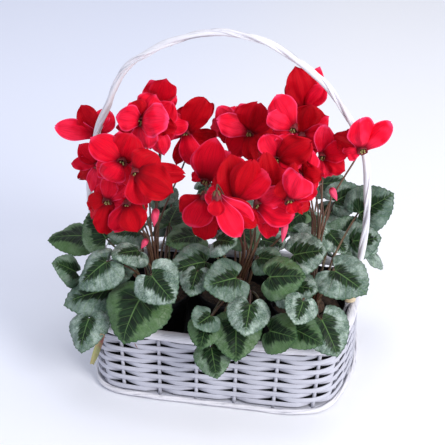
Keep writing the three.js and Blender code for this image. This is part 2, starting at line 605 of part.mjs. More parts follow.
/** A scalloped heart-shaped blade from its stalk joint to its tip, with its stalk. */
function leafBody(crown, angle, { joint, tip, wide, facing, arch, cup, seed }) {
  const random = stream(seed);
  const phase = random() * 6;
  const span = tip.clone().sub(joint);
  const size = span.length();
  const x = span.clone().normalize();
  const want = domeNormal(joint).lerp(ahead.clone().negate(), facing).normalize();
  const n = want.addScaledVector(x, -want.dot(x)).normalize();
  const y = n.clone().cross(x);
  const at = ([u, v]) => {
    const rise = arch * 4 * Math.max(u, 0) * (1 - u) - cup * v * v * 2.2;
    const wave = 0.035 * Math.sin(7 * u + phase + Math.sign(v) * 1.3) * Math.abs(v) * 1.6;
    return joint.clone()
      .addScaledVector(x, u * size)
      .addScaledVector(y, v * wide * size)
      .addScaledVector(n, (rise + wave) * size);
  };
  const flat = [[0.03, 0], [0.33, 0], [0.66, 0], [1, 0]];
  LEAF_EDGE.forEach(([u, v]) => flat.push([u, v]));
  LEAF_EDGE.forEach(([u, v]) => flat.push([u, -v]));
  const faces = [[0, 4, 9]];
  for (const o of [4, 9]) {
    const half = [
      [0, o, o + 1], [0, o + 1, o + 2], [0, o + 2, 1], [1, o + 2, o + 3], [1, o + 3, 2],
      [2, o + 3, o + 4], [2, o + 4, 3],
    ];
    half.forEach(([a, b, c]) => faces.push(o === 4 ? [a, c, b] : [a, b, c]));
  }
  const edge = [3, 8, 7, 6, 5, 4, 9, 10, 11, 12, 13];
  const count = flat.length;
  const face = flat.map(at);
  const points = [
    ...face.map((p) => p.clone().addScaledVector(n, BLADE / 2)),
    ...face.map((p) => p.clone().addScaledVector(n, -BLADE / 2)),
  ];
  const all = [faces[0]];
  faces.slice(1).forEach(([a, b, c]) => {
    all.push([a, b, c], [a + count, c + count, b + count]);
  });
  edge.forEach((a, i) => {
    const b = edge[(i + 1) % edge.length];
    all.push([b, a, a + count], [b, a + count, b + count]);
  });
  let ring = [count, 4 + count, 9 + count];
  let spread = y;
  const path = petiolePath(crown, angle, joint, x, n);
  for (let i = path.length - 2; i >= 0; i -= 1) {
    const before = path[Math.max(i - 1, 0)];
    const along = path[i + 1].clone().sub(before).normalize();
    spread = spread.clone().addScaledVector(along, -spread.dot(along)).normalize();
    const ahead2 = spread.clone().cross(along);
    const next = [[1, 0], [-0.5, 0.87], [-0.5, -0.87]].map(([e, f]) => {
      points.push(path[i].clone()
        .addScaledVector(ahead2, e * PETIOLE_RADIUS)
        .addScaledVector(spread, f * PETIOLE_RADIUS));
      return points.length - 1;
    });
    ring.forEach((a, j) => {
      const k = (j + 1) % 3;
      all.push([ring[k], a, next[j]], [ring[k], next[j], next[k]]);
    });
    ring = next;
  }
  all.push([ring[0], ring[2], ring[1]]);
  return surface(points, all);
}

/** The way of a leaf's stalk, from the crown ring to the blade's joint. */
function petiolePath(crown, angle, joint, x, n) {
  const flat = V(joint.x - crown.x, joint.y - crown.y, 0);
  const reach = flat.length();
  const way = flat.clone().normalize();
  const ring = (CROWN.inner + CROWN.outer) / 2;
  const out = V(Math.cos(angle), Math.sin(angle), 0);
  const start = V(crown.x, crown.y, CROWN.low + 1.6).addScaledVector(out, ring - 0.4);
  const lift = Math.max(joint.z - 14, 136);
  const bend = V(crown.x, crown.y, THREE.MathUtils.lerp(CROWN.high, lift, 0.7))
    .addScaledVector(way, reach * 0.3)
    .addScaledVector(out, ring);
  const under = joint.clone().addScaledVector(x, -7).addScaledVector(n, -10);
  return [start, bend, under, joint];
}

/** Every leaf of the arrangement, with the plant that it belongs to. */
function leafList() {
  const list = LEAVES.map(([name, plant, from, to, wide, facing, arch, cup], i) => ({
    name, plant, joint: sight(from), tip: sight(to), wide, facing, arch, cup, seed: 100 + i,
  }));
  for (const [tier, spec] of Object.entries(BACK)) {
    for (let i = 0; i < spec.count; i += 1) {
      const random = stream(500 + i * 7 + spec.seed);
      const x = spec.from + spec.step * i;
      const joint = V(x, spec.y + random() * 8, spec.z + (i % 2) * 9 - Math.abs(x) * 0.12);
      const tip = joint.clone().add(V(x * 0.08 + (random() - 0.5) * 24, spec.out, -spec.drop));
      const plant = x < -40 ? "left" : x < 70 ? "middle" : "right";
      list.push({
        name: `${tier}${i}`, plant, joint, tip, wide: 1.05, facing: 0, arch: 0.05, cup: 0.1,
        seed: 600 + i,
      });
    }
  }
  return list;
}

/** The crown ring that the petioles spring from. */
function crownRing(crown) {
  const { inner, outer, low, high } = CROWN;
  const ring = lathe([
    [inner, low], [outer, low], [outer - 2, high], [inner, low],
  ], 9);
  return ring.translate(crown.x, crown.y, 0);
}

/** The plant's leaves in order round the crown, each with the angle where its stalk starts. */
function leavesRound(plant, crown) {
  const heading = ({ joint }) => Math.atan2(joint.y - crown.y, joint.x - crown.x);
  const mine = leafList().filter((leaf) => leaf.plant === plant)
    .sort((a, b) => heading(a) - heading(b));
  const even = (i) => (i / mine.length) * Math.PI * 2;
  const shift = mine.reduce((sum, leaf, i) => sum + heading(leaf) - even(i), 0) / mine.length;
  return mine.map((leaf, i) => ({ leaf, angle: even(i) + shift }));
}

function foliage(plant, crown) {
  const leaves = leavesRound(plant, crown).map(({ leaf, angle }) => leafBody(crown, angle, leaf));
  return fuse([crownRing(crown), ...leaves]);
}

// ---------------------------------------------------------------- flowers

/** One petal from the nose to its tip, bowed towards the viewer. */
function petal(root, tip, width, bow, front) {
  const span = tip.clone().sub(root);
  const along = span.clone().normalize();
  const n = front.clone().addScaledVector(along, -front.dot(along)).normalize();
  const side = n.clone().cross(along);
  const at = (s, w) => root.clone()
    .addScaledVector(span, s)
    .addScaledVector(n, bow * 4 * s * (1 - s) - Math.abs(w) * width * 0.14)
    .addScaledVector(side, w * width);
  const face = [
    at(0, 0), at(0.28, -0.46), at(0.64, -0.6), at(0.95, -0.3),
    at(0.95, 0.3), at(0.64, 0.6), at(0.28, 0.46), at(0.5, 0),
  ];
  const half = [[0, 1, 7], [1, 2, 7], [2, 3, 7], [3, 4, 7], [4, 5, 7], [5, 6, 7], [6, 0, 7]];
  const edge = [0, 6, 5, 4, 3, 2, 1];
  const count = face.length;
  const points = [
    ...face.map((p) => p.clone().addScaledVector(n, PETAL / 2)),
    ...face.map((p) => p.clone().addScaledVector(n, -PETAL / 2)),
  ];
  const all = [];
  half.forEach(([a, b, c]) => {
    all.push([a, c, b], [a + count, b + count, c + count]);
  });
  edge.forEach((a, i) => {
    const b = edge[(i + 1) % edge.length];
    all.push([b, a, a + count], [b, a + count, b + count]);
  });
  return surface(points, all);
}

/** A bloom about its mouth: a short nose and five petals. */
function bloom([, , mouth, axis, petals]) {
  const place = sight(mouth);
  const a = V(...axis).normalize();
  const nose = stem([a.clone().multiplyScalar(-5), a.clone().multiplyScalar(8)], 6.6, 5, 0.5);
  const parts = [nose];
  const layers = [...petals].sort((p, q) => p[2] - q[2]);
  layers.forEach(([u, v, dy, width, bow], i) => {
    const layer = ahead.clone().multiplyScalar((i - 2) * PETAL_STEP);
    const tip = sight([u, v, mouth[2] + dy * PETAL_DEPTH]).sub(place).addScaledVector(layer, 2);
    const root = tip.clone().normalize().multiplyScalar(1.4).add(layer);
    parts.push(petal(root, tip, width, bow, ahead.clone().negate()));
  });
  return { geometry: fuse(parts), place };
}

/** Each bloom's place in its plant's bunch, in order of the way that its stalk leans. */
function bunchOrder(plant) {
  const bunch = sight(BUNCH[plant]);
  const lean = (spec) => {
    const place = sight(spec[2]);
    return Math.atan2(place.y - bunch.y, place.x - bunch.x);
  };
  return BLOOMS.filter((each) => each[1] === plant).sort((a, b) => lean(a) - lean(b));
}

/** The waypoints of a flower stalk from the corm to a bloom's calyx. */
function stalkPath(plant, crown, index, total, [, , mouth, axis, petals]) {
  const a = V(...axis).normalize();
  const place = sight(mouth);
  const angle = (index / total) * Math.PI * 2 - Math.PI * 0.9;
  const ring = V(Math.cos(angle), Math.sin(angle), 0);
  const start = V(crown.x, crown.y, 110).addScaledVector(ring, 5.6);
  const first = V(crown.x, crown.y, 128).addScaledVector(ring, 6.4);
  const bunch = sight(BUNCH[plant]).addScaledVector(ring, 8);
  const end = place.clone().addScaledVector(a, 8.9);
  const over = place.clone().addScaledVector(a, 13).add(V(0, 2.5, -2.5));
  const low = Math.min(...petals.map(([u, v, dy]) => sight([u, v, mouth[2] + dy * PETAL_DEPTH]).z));
  const drop = axis[2] > 0.9 ? 0 : THREE.MathUtils.clamp(place.z - low + 6, 16, 34);
  const back = place.clone().addScaledVector(a, 14).add(V(0, 6, -drop));
  const curve = new THREE.CatmullRomCurve3(
    [start, first, bunch, back, over, end], false, "centripetal",
  );
  return STALK_STATIONS.map((t) => curve.getPoint(t / 5));
}

function cormAndStalks(plant, crown) {
  const body = lathe([
    [0, CORM.low], [14, CORM.low], [20.5, 103], [14, 111.4], [0, CORM.top],
  ], 8);
  const parts = [body.translate(crown.x, crown.y, 0)];
  const mine = bunchOrder(plant);
  mine.forEach((spec, i) => {
    const path = stalkPath(plant, crown, i, mine.length, spec);
    parts.push(stem(path, STALK_RADIUS, 3, 0.8));
  });
  BUDS.filter((each) => each[0] === plant).forEach(([, from, to, width], i) => {
    const base = sight(from);
    const tip = sight(to);
    const foot = V(crown.x - 1.5 + 3 * i, crown.y - 1.5 * i, 110);
    const path = [foot, foot.clone().setZ(126), base.clone().add(V(0, 8, -14)), base];
    parts.push(stem(smooth(path, 5), STALK_RADIUS, 3, 0.8));
    const mid = base.clone().lerp(tip, 0.45);
    parts.push(spindle([base.clone().lerp(tip, -0.06), mid, tip], [0.35, 1, 0.2], width / 2));
  });
  return fuse(parts);
}

// ---------------------------------------------------------------- the whole

const group = new THREE.Group();

function put(name, geometry, look, position = V(0, 0, 0)) {
  const mesh = new THREE.Mesh(geometry, new THREE.MeshStandardMaterial(look));
  mesh.name = name;
  mesh.position.copy(position);
  group.add(mesh);
}

const angles = stakeAngles();
put("basket_frame", basketFrame(angles), WICKER);
put("basket_weave", basketWeave(angles), WICKER);
put("basket_rim", basketRim(), WICKER);
put("basket_foot", basketFoot(), WICKER);
put("basket_handle", basketHandle(), WICKER);
put("handle_binding_left", binding(), CANE, V(-BINDING.x, 0, BINDING.z));
put("handle_binding_right", binding(), CANE, V(BINDING.x, 0, BINDING.z));
put("liner", liner(), BLACK);

for (const [side, spec] of Object.entries(PLANTS)) {
  const centre = V(spec.pot[0], spec.pot[1], 0);
  const crown = V(spec.crown[0], spec.crown[1], 0);
  const hole = [spec.crown[0] - spec.pot[0], spec.crown[1] - spec.pot[1]];
  put(`pot_${side}`, pot(), BLACK, centre);
  put(`soil_${side}`, soil(hole), SOIL_BROWN, centre);
  put(`corm_${side}`, cormAndStalks(side, crown), STALK);
  put(`foliage_${side}`, foliage(side, crown), LEAF);
}

for (const spec of BLOOMS) {
  const { geometry, place } = bloom(spec);
  put(`bloom_${spec[0]}`, geometry, RED, place);
}

export default group;
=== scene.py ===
"""Potted cyclamens in a white wicker basket with a high handle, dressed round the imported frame.

The frame gives every solid at rest, in metres. Baskets, pots, leaves and flowers are rebuilt
here from the same sizes as the solids, finer, and each takes the place of its own solid.
"""

from __future__ import annotations

import logging
import math
import random
from dataclasses import dataclass, field
from enum import Enum, IntEnum
from math import cos, pi, sin
from typing import Callable, Iterable, Iterator, Sequence, Union

import bmesh
import bpy
from mathutils import Matrix, Vector, noise

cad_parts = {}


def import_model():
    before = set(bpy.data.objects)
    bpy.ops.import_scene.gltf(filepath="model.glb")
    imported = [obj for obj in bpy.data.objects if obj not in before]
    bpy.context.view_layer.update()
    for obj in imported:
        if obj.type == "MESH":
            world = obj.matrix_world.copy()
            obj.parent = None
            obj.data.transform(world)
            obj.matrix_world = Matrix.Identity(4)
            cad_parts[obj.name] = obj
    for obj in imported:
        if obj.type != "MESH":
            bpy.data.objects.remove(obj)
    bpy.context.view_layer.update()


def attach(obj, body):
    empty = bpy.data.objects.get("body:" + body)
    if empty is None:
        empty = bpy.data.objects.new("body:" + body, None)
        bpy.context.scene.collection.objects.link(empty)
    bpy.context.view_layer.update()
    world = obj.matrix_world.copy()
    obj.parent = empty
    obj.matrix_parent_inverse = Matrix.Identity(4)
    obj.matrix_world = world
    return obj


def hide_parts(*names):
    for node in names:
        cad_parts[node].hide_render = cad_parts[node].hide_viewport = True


LOG = logging.getLogger("cyclamens")
MM = 0.001
UP = Vector((0.0, 0.0, 1.0))
TURN = math.tau
MERGE = 2e-6  # metres, nearer than which two points are one
SHARP = 1.3  # radians, past which an edge is sharp

Spot = tuple[float, float, float]
Colour = tuple[float, float, float, float]
Shape = Callable[[float, float], Vector]
Layout = Callable[[float, float], tuple[float, float]]
Socket = bpy.types.NodeSocket
Tree = bpy.types.NodeTree
Material = bpy.types.Material
Input = Union[Socket, bpy.types.Node, float, tuple]


# ---- the view


@dataclass(frozen=True)
class Sight:
    """The photograph's view: where the eye stands and how a place in the picture reads in metres."""

    turn: float = math.radians(11.5)
    tilt: float = math.radians(26.5)
    away: float = 1.6
    focal: float = 1189.3
    middle: float = 222.5
    width: float = 445.0
    aim_right: float = -0.0098
    aim_up: float = -0.00131
    aim_height: float = 0.2

    @property
    def ahead(self) -> Vector:
        """The way that the camera looks."""
        flat = cos(self.tilt)
        return Vector((-sin(self.turn) * flat, cos(self.turn) * flat, -sin(self.tilt)))

    @property
    def across(self) -> Vector:
        """The way to the right of the picture."""
        return Vector((cos(self.turn), sin(self.turn), 0.0))

    @property
    def above(self) -> Vector:
        """The way to the top of the picture."""
        return self.across.cross(self.ahead)

    @property
    def eye(self) -> Vector:
        """Where the camera stands."""
        aim = Vector((0.0, 0.0, self.aim_height)) + self.across * self.aim_right
        return aim + self.above * self.aim_up - self.ahead * self.away

    def place(self, spot: Sequence[float]) -> Vector:
        """The point seen at a spot.

        Args:
            spot: Across and down in the square view of 445 units, then the depth y in mm.

        Returns:
            The point in metres.
        """
        u, v, y = spot
        ray = self.ahead + self.across * ((u - self.middle) / self.focal)
        ray = ray + self.above * ((self.middle - v) / self.focal)
        return self.eye + ray * ((y * MM - self.eye.y) / ray.y)


SIGHT = Sight()


def facing(along: Vector) -> tuple[Vector, Vector]:
    """The way square to a line that looks most at the viewer, and the way to its side."""
    front = -SIGHT.ahead
    n = (front - along * front.dot(along)).normalized()
    return n, n.cross(along)


# ---- where leaves and flowers stand


class Plant(str, Enum):
    """The three plants of the basket, from left to right."""

    LEFT = "left"
    MIDDLE = "middle"
    RIGHT = "right"


@dataclass(frozen=True)
class Stand:
    """Where a plant stands.

    Attributes:
        pot: The pot's centre in mm.
        crown: The middle of its corm in mm.
        bunch: Where its flower stalks gather, as a spot of the view.
    """

    pot: tuple[float, float]
    crown: tuple[float, float]
    bunch: Spot


STANDS: dict[Plant, Stand] = {
    Plant.LEFT: Stand((-96, -48), (-90, -54), (150, 236, -66)),
    Plant.MIDDLE: Stand((12, -26), (18, -32), (249, 250, -70)),
    Plant.RIGHT: Stand((114, -40), (116, -36), (318, 215, -10)),
}

# Leaves: plant, where the stalk meets the blade, the tip, then
# wide (times the midrib), facing (0 follows the foliage dome, 1 faces the viewer), arch, cup.
LEAVES: list[tuple[str, Spot, Spot, float, float, float, float]] = [
    ("left", (106, 262, -118), (77, 288, -140), 1.0, 0.3, 0.05, 0.1),
    ("left", (152, 276, -150), (174.5, 303, -176), 1.05, 0.3, 0.06, 0.12),
    ("left", (89, 319, -143), (80, 353, -176), 1.0, 0.4, 0.06, 0.1),
    ("left", (140, 299, -142), (122, 344, -178), 1.15, 0.4, 0.1, 0.2),
    ("left", (84, 236, -15), (47, 238, -30), 1.05, 0.3, 0.04, 0.05),
    ("left", (106, 238, -45), (88, 213, -25), 1.1, 0.5, 0.04, 0.08),
    ("left", (76, 272, -88), (54, 262, -111), 0.95, 0.3, 0.03, 0.05),
    ("left", (114, 289, -104), (62, 303, -128), 0.85, 0.3, 0.06, 0.12),
    ("left", (138, 231, -40), (107, 235, -60), 1.0, 0.4, 0.06, 0.08),
    ("left", (137, 251, -94), (112, 256, -124), 1.0, 0.3, 0.05, 0.1),
    ("left", (170, 222, -22), (180, 203, 16), 1.1, 0.5, 0.04, 0.08),
    ("middle", (195, 236, -46), (166, 243, -74), 1.05, 0.3, 0.05, 0.1),
    ("middle", (205, 262, -88), (168, 272, -112), 1.0, 0.3, 0.06, 0.1),
    ("middle", (197, 272, -112), (190, 296, -142), 1.0, 0.3, 0.04, 0.1),
    ("middle", (210, 316, -160), (194, 327, -190), 1.0, 0.4, 0.03, 0.06),
    ("middle", (207, 322, -156), (200, 349, -190), 0.95, 0.4, 0.05, 0.1),
    ("middle", (211.5, 348, -163), (217, 378.6, -195), 0.95, 0.5, 0.05, 0.1),
    ("middle", (236, 278, -117), (203, 287, -144), 1.1, 0.3, 0.05, 0.1),
    ("right", (260, 258, -90), (281.6, 261.6, -103), 1.1, 0.3, 0.04, 0.1),
    ("right", (270, 277, -126), (305, 276, -134), 1.0, 0.4, 0.05, 0.1),
    ("right", (294, 255, -69), (327.6, 250, -74), 1.1, 0.4, 0.05, 0.1),
    ("right", (335, 271, -74), (367, 294, -97), 1.15, 0.4, 0.05, 0.12),
    ("right", (285, 285, -98), (318, 290, -114), 1.0, 0.3, 0.05, 0.1),
    ("right", (303, 302, -146), (295, 325, -178), 1.0, 0.3, 0.04, 0.08),
    ("middle", (270, 331, -152), (296, 338, -176), 1.0, 0.4, 0.04, 0.08),
    ("right", (292, 328, -146), (323, 344, -164), 0.9, 0.4, 0.04, -0.2),
    ("right", (322, 320, -128), (338.4, 356.7, -154), 1.05, 0.5, 0.05, 0.1),
    ("middle", (250, 305, -147), (244.6, 336, -186), 1.0, 0.4, 0.04, 0.15),
    ("middle", (236, 323, -146), (236, 362, -182), 1.05, 0.5, 0.05, 0.12),
    ("right", (309, 217, 36), (323, 235.5, 2), 1.2, 0.5, 0.04, 0.06),
    ("right", (322, 212, 72), (347, 215, 64), 1.1, 0.5, 0.04, 0.06),
    ("right", (336, 201, 60), (361, 187, 70), 1.05, 0.7, 0.04, 0.06),
    ("right", (359.5, 213, 42), (393, 194, 36), 0.95, 1, 0.02, 0.05),
    ("right", (353, 241, 26), (381, 238, 22), 1.1, 1, 0.03, 0.05),
    ("right", (340, 226, 52), (350, 237, 42), 1.3, 0.8, 0.03, 0.05),
    ("right", (322, 184, 100), (347, 182, 95), 1.1, 0.6, 0.03, 0.05),
    ("middle", (218, 240, -80), (235, 243, -102), 1.1, 0.4, 0.04, 0.1),
    ("left", (199, 190, 100), (213, 184, 105), 1.2, 0.6, 0.03, 0.05),
    ("left", (166, 190, 34), (151, 208, 12), 1.1, 0.5, 0.04, 0.08),
    ("left", (120, 262, -62), (124, 284, -86), 1.15, 0.4, 0.04, 0.08),
    ("middle", (240, 232, -16), (256, 246, -40), 1.15, 0.5, 0.04, 0.08),
    ("middle", (262, 240, -6), (285, 247, -24), 1.1, 0.5, 0.04, 0.08),
    ("right", (330, 234, 20), (346, 254, 4), 1.15, 0.5, 0.04, 0.08),
    ("right", (300, 214, 26), (282, 228, 6), 1.1, 0.5, 0.04, 0.08),
]


class LeafPart(IntEnum):
    """The finishes of a plant's foliage, in the order of its materials."""

    BLADE = 0
    STALK = 1
    DRY = 2
    FADED = 3


# Withered leaves: plant, upper end, lower end, width in mm, finish.
REMNANTS: list[tuple[str, Spot, Spot, float, LeafPart]] = [
    ("left", (103, 334, -159), (92, 364, -156), 9, LeafPart.FADED),
    ("left", (136, 337, -127.5), (140, 348, -129.2), 9, LeafPart.DRY),
    ("middle", (224, 358, -128.6), (229, 367, -133.4), 10, LeafPart.DRY),
]


@dataclass(frozen=True)
class Tier:
    """A row of leaves behind the flowers, from joints in steps along x, in mm."""

    start: float
    step: float
    count: int
    depth: float
    height: float
    reach: float
    drop: float
    seed: int


TIERS = (
    Tier(start=-146, step=49, count=7, depth=20, height=186, reach=30, drop=-30, seed=180),
    Tier(start=-172, step=68, count=6, depth=58, height=178, reach=44, drop=14, seed=0),
    Tier(start=-178, step=70, count=6, depth=92, height=142, reach=40, drop=34, seed=90),
)

# Blooms: name, plant, mouth of the nose, the way from mouth to calyx, then the petals:
# tip across, tip down, tip depth less the mouth's, width in mm, bow towards the viewer.
PetalSpot = tuple[float, float, float, float, float]
BLOOMS: list[tuple[str, str, Spot, Spot, list[PetalSpot]]] = [
    ("B1", "left", (97, 135, 30), (0, 0.85, 0.45), [
        (57, 126, -4, 22, 4), (82, 107, 4, 21, 5), (101, 109, 8, 18, 4), (113, 114, 8, 20, 3)]),
    ("B2", "left", (160, 108, 34), (0, 0.85, 0.45), [
        (149, 82, 0, 24, 6), (164, 80, -5, 26, 7), (176, 97, 6, 14, 3), (142, 103, 8, 20, 4)]),
    ("B3", "left", (141, 121, -38), (0.1, 1, 0.15), [
        (118, 115, -6, 25, 8), (130, 104, 4, 26, 6), (158, 98, 5, 30, 6), (167, 122, -8, 32, 8),
        (146, 147, 4, 26, 5)]),
    ("B5", "left", (156, 126, 4), (0, 0.85, 0.45), [
        (174, 104, 4, 26, 5), (186, 119, 4, 24, 5), (176, 128, -6, 18, 5), (164, 154, -4, 20, 6),
        (150, 148, 2, 22, 5)]),
    ("B4", "left", (186, 133, 24), (0, 0.85, 0.45), [
        (203, 98, 0, 27, 6), (187, 106, 6, 25, 5), (212, 103, 8, 16, 3), (178, 164, -2, 14, 3),
        (192, 165, -8, 22, 5)]),
    ("B6", "left", (122, 162, -86), (-0.1, 1, 0.1), [
        (95, 136, 2, 28, 8), (118, 132, 8, 20, 4), (134, 136, 4, 30, 6), (131, 185, -2, 16, 4),
        (109, 181, -4, 26, 9)]),
    ("B7", "left", (136, 172, -110), (-0.2, 0.9, 0.5), [
        (153, 152, 6, 30, 8), (184, 174, 8, 20, 4), (172, 189, -4, 32, 9), (143, 204, -2, 28, 7)]),
    ("B8", "left", (98, 164, -18), (0.2, 0.85, 0.45), [
        (80, 145, -3, 20, 6), (73, 163, -4, 14, 4), (94, 144, 3, 18, 4), (91, 190, 1, 16, 3)]),
    ("B9", "left", (107, 200, -78), (-0.2, 0.8, 0.5), [
        (88, 200, 2, 17, 5), (112, 176, 0, 18, 5), (125, 183, 4, 18, 5), (89, 208, 8, 14, 4),
        (109, 232, 2, 26, 6)]),
    ("B10", "left", (128, 204, -84), (0.1, 0.85, 0.45), [
        (118, 232, 0, 24, 6), (139, 230, -6, 28, 6), (147, 207, 6, 18, 4), (112, 196, 8, 20, 3)]),
    ("C15", "middle", (204, 198, -70), (0.1, 0.25, 1), [
        (182, 213, -4, 26, 6), (196, 227, -10, 28, 8), (206, 239, -2, 24, 5), (217, 230, 6, 18, 4)]),
    ("C14", "middle", (217, 198, -128), (-0.1, 0.25, 1), [
        (238, 236, -2, 22, 5), (247, 226, 6, 26, 5), (216, 216, -4, 16, 4), (258, 221, 8, 22, 4)]),
    ("C5", "middle", (206, 180, -20), (0.1, 0.85, 0.45), [
        (217, 140, -4, 34, 8), (200, 148, 4, 24, 5), (228, 153, 2, 22, 5), (194, 172, 4, 16, 4)]),
    ("C6", "middle", (236, 200, -96), (0.1, 0.85, 0.45), [
        (228, 157, 4, 28, 7), (250, 161, -4, 26, 8), (264, 173, -2, 26, 7), (207, 193, 8, 22, 5),
        (241, 158, 8, 20, 3)]),
    ("C7", "middle", (272, 196, -72), (0, 0.85, 0.45), [
        (264, 154, 0, 22, 6), (284, 169, 2, 26, 5), (291, 186, 6, 22, 5), (259, 206, 4, 18, 4)]),
    ("C8", "middle", (277, 160, -52), (0.1, 1, 0.1), [
        (309, 142, -4, 28, 7), (268, 134, 4, 24, 5), (290, 134, 4, 22, 5), (299, 168, -4, 18, 5),
        (262, 168, 6, 18, 4)]),
    ("C13", "middle", (258, 204, -92), (-0.3, 0.85, 0.45), [
        (286, 191, 0, 20, 6), (293, 217, -4, 30, 8), (262, 224, 0, 22, 5), (273, 236, 6, 20, 4)]),
    ("C3", "middle", (249, 132, 30), (0, 0.85, 0.45), [
        (262, 105, -2, 34, 7), (241, 104, 4, 22, 5), (218, 120, -6, 24, 7), (259, 160, -2, 26, 5),
        (273, 140, 6, 22, 4)]),
    ("C3b", "middle", (232, 128, 66), (-0.1, 0.85, 0.45), [
        (218, 109, -2, 22, 5), (234, 106, 6, 20, 4), (211, 126, 4, 20, 4), (225, 142, -2, 22, 5),
        (240, 118, 5, 18, 3)]),
    ("C1a", "right", (305, 110, 66), (0, 0.85, 0.45), [
        (299, 68, 0, 30, 7), (320, 86, -2, 22, 5), (289, 82, 2, 20, 5), (319, 68, 8, 20, 4)]),
    ("C1b", "right", (303, 136, 34), (0, 0.8, 0.5), [
        (305, 105, 2, 36, 6), (329, 119, 2, 20, 4), (332, 138, -4, 24, 6), (287, 148, -2, 20, 5),
        (311, 158, 1, 20, 4)]),
    ("C2", "right", (293, 128, -8), (0, 0.85, 0.45), [
        (276, 97, 0, 27, 6), (269, 114, -4, 20, 5), (274, 130, 2, 20, 4), (289, 153, 4, 18, 4)]),
    ("C9", "right", (301, 174, -44), (-0.2, 0.85, 0.45), [
        (314, 152, 0, 22, 6), (320, 171, -2, 22, 6), (302, 150, 6, 20, 4), (313, 192, 2, 20, 4),
        (288, 164, 3, 18, 4)]),
    ("C12", "right", (290, 200, -112), (-0.1, 0.85, 0.45), [
        (303, 177, -2, 30, 7), (292, 163, 6, 12, 5), (314, 185, 8, 20, 4), (281, 181, 4, 22, 5),
        (296, 212, -1, 16, 4)]),
    ("C10", "right", (323, 156, -12), (-0.1, 0.85, 0.45), [
        (329, 127, 2, 22, 5), (352, 148, -4, 21, 6), (345, 168, -2, 20, 5), (325, 177, 0, 18, 5)]),
    ("C11", "right", (362, 149, -36), (-0.3, 0.85, 0.45), [
        (359, 120, -2, 27, 7), (391, 125, 0, 19, 5), (335, 138, 4, 20, 5), (348, 130, 5, 20, 4),
        (344, 153, 2, 18, 4)]),
]

# Buds: plant, place of the bud's base, its tip, its width in mm.
BUDS: list[tuple[str, Spot, Spot, float]] = [
    ("left", (147, 239, -88), (141, 249, -94), 8),
    ("left", (156, 209, -92), (154, 227, -94), 10),
    ("middle", (286, 222, -98), (282, 243, -104), 8),
    ("right", (331, 188, -48), (337, 201, -54), 9),
]


# ---- making meshes


def mm(x: float, y: float, z: float) -> Vector:
    """A point given in millimetres, in metres."""
    return Vector((x * MM, y * MM, z * MM))


def lerp(a: float, b: float, share: float) -> float:
    """The number that lies a share of the way from a to b."""
    return a + (b - a) * share


def ease(low: float, high: float, value: float) -> float:
    """A smooth step from 0 at low to 1 at high."""
    share = min(max((value - low) / (high - low), 0.0), 1.0)
    return share * share * (3 - 2 * share)


def level(turn: float) -> Vector:
    """The level unit way at an angle."""
    return Vector((cos(turn), sin(turn), 0))


def spoke(side: Vector, other: Vector, turn: float) -> Vector:
    """The unit way at an angle from one side towards the other."""
    return side * cos(turn) + other * sin(turn)


class Spline:
    """A smooth open curve through points, with even weight on near and far ones."""

    def __init__(self, points: Sequence[Vector]) -> None:
        """Keeps the points that the curve runs through."""
        self.points = [p.copy() for p in points]

    def at(self, share: float) -> Vector:
        """The point at a share of the way.

        Args:
            share: From 0 to 1, where every stretch between two points counts alike.

        Returns:
            The point.
        """
        last = len(self.points) - 1
        reach = min(max(share, 0.0), 1.0) * last
        i = min(int(reach), last - 1)
        w = reach - i
        b, c = self.points[i], self.points[i + 1]
        a = self.points[i - 1] if i > 0 else b * 2 - c
        d = self.points[i + 2] if i + 2 <= last else c * 2 - b
        gaps = [max((q - p).length, 1e-7) ** 0.5 for p, q in ((a, b), (b, c), (c, d))]
        start = (b - a) / gaps[0] - (c - a) / (gaps[0] + gaps[1]) + (c - b) / gaps[1]
        end = (c - b) / gaps[1] - (d - b) / (gaps[1] + gaps[2]) + (d - c) / gaps[2]
        start, end = start * gaps[1], end * gaps[1]
        return (b + start * w + (c * 3 - b * 3 - start * 2 - end) * w * w
                + (b * 2 - c * 2 + start + end) * w ** 3)

    def cut(self, steps: int) -> list[Vector]:
        """Points that part the way in equal shares, both ends included."""
        return [self.at(k / steps) for k in range(steps + 1)]


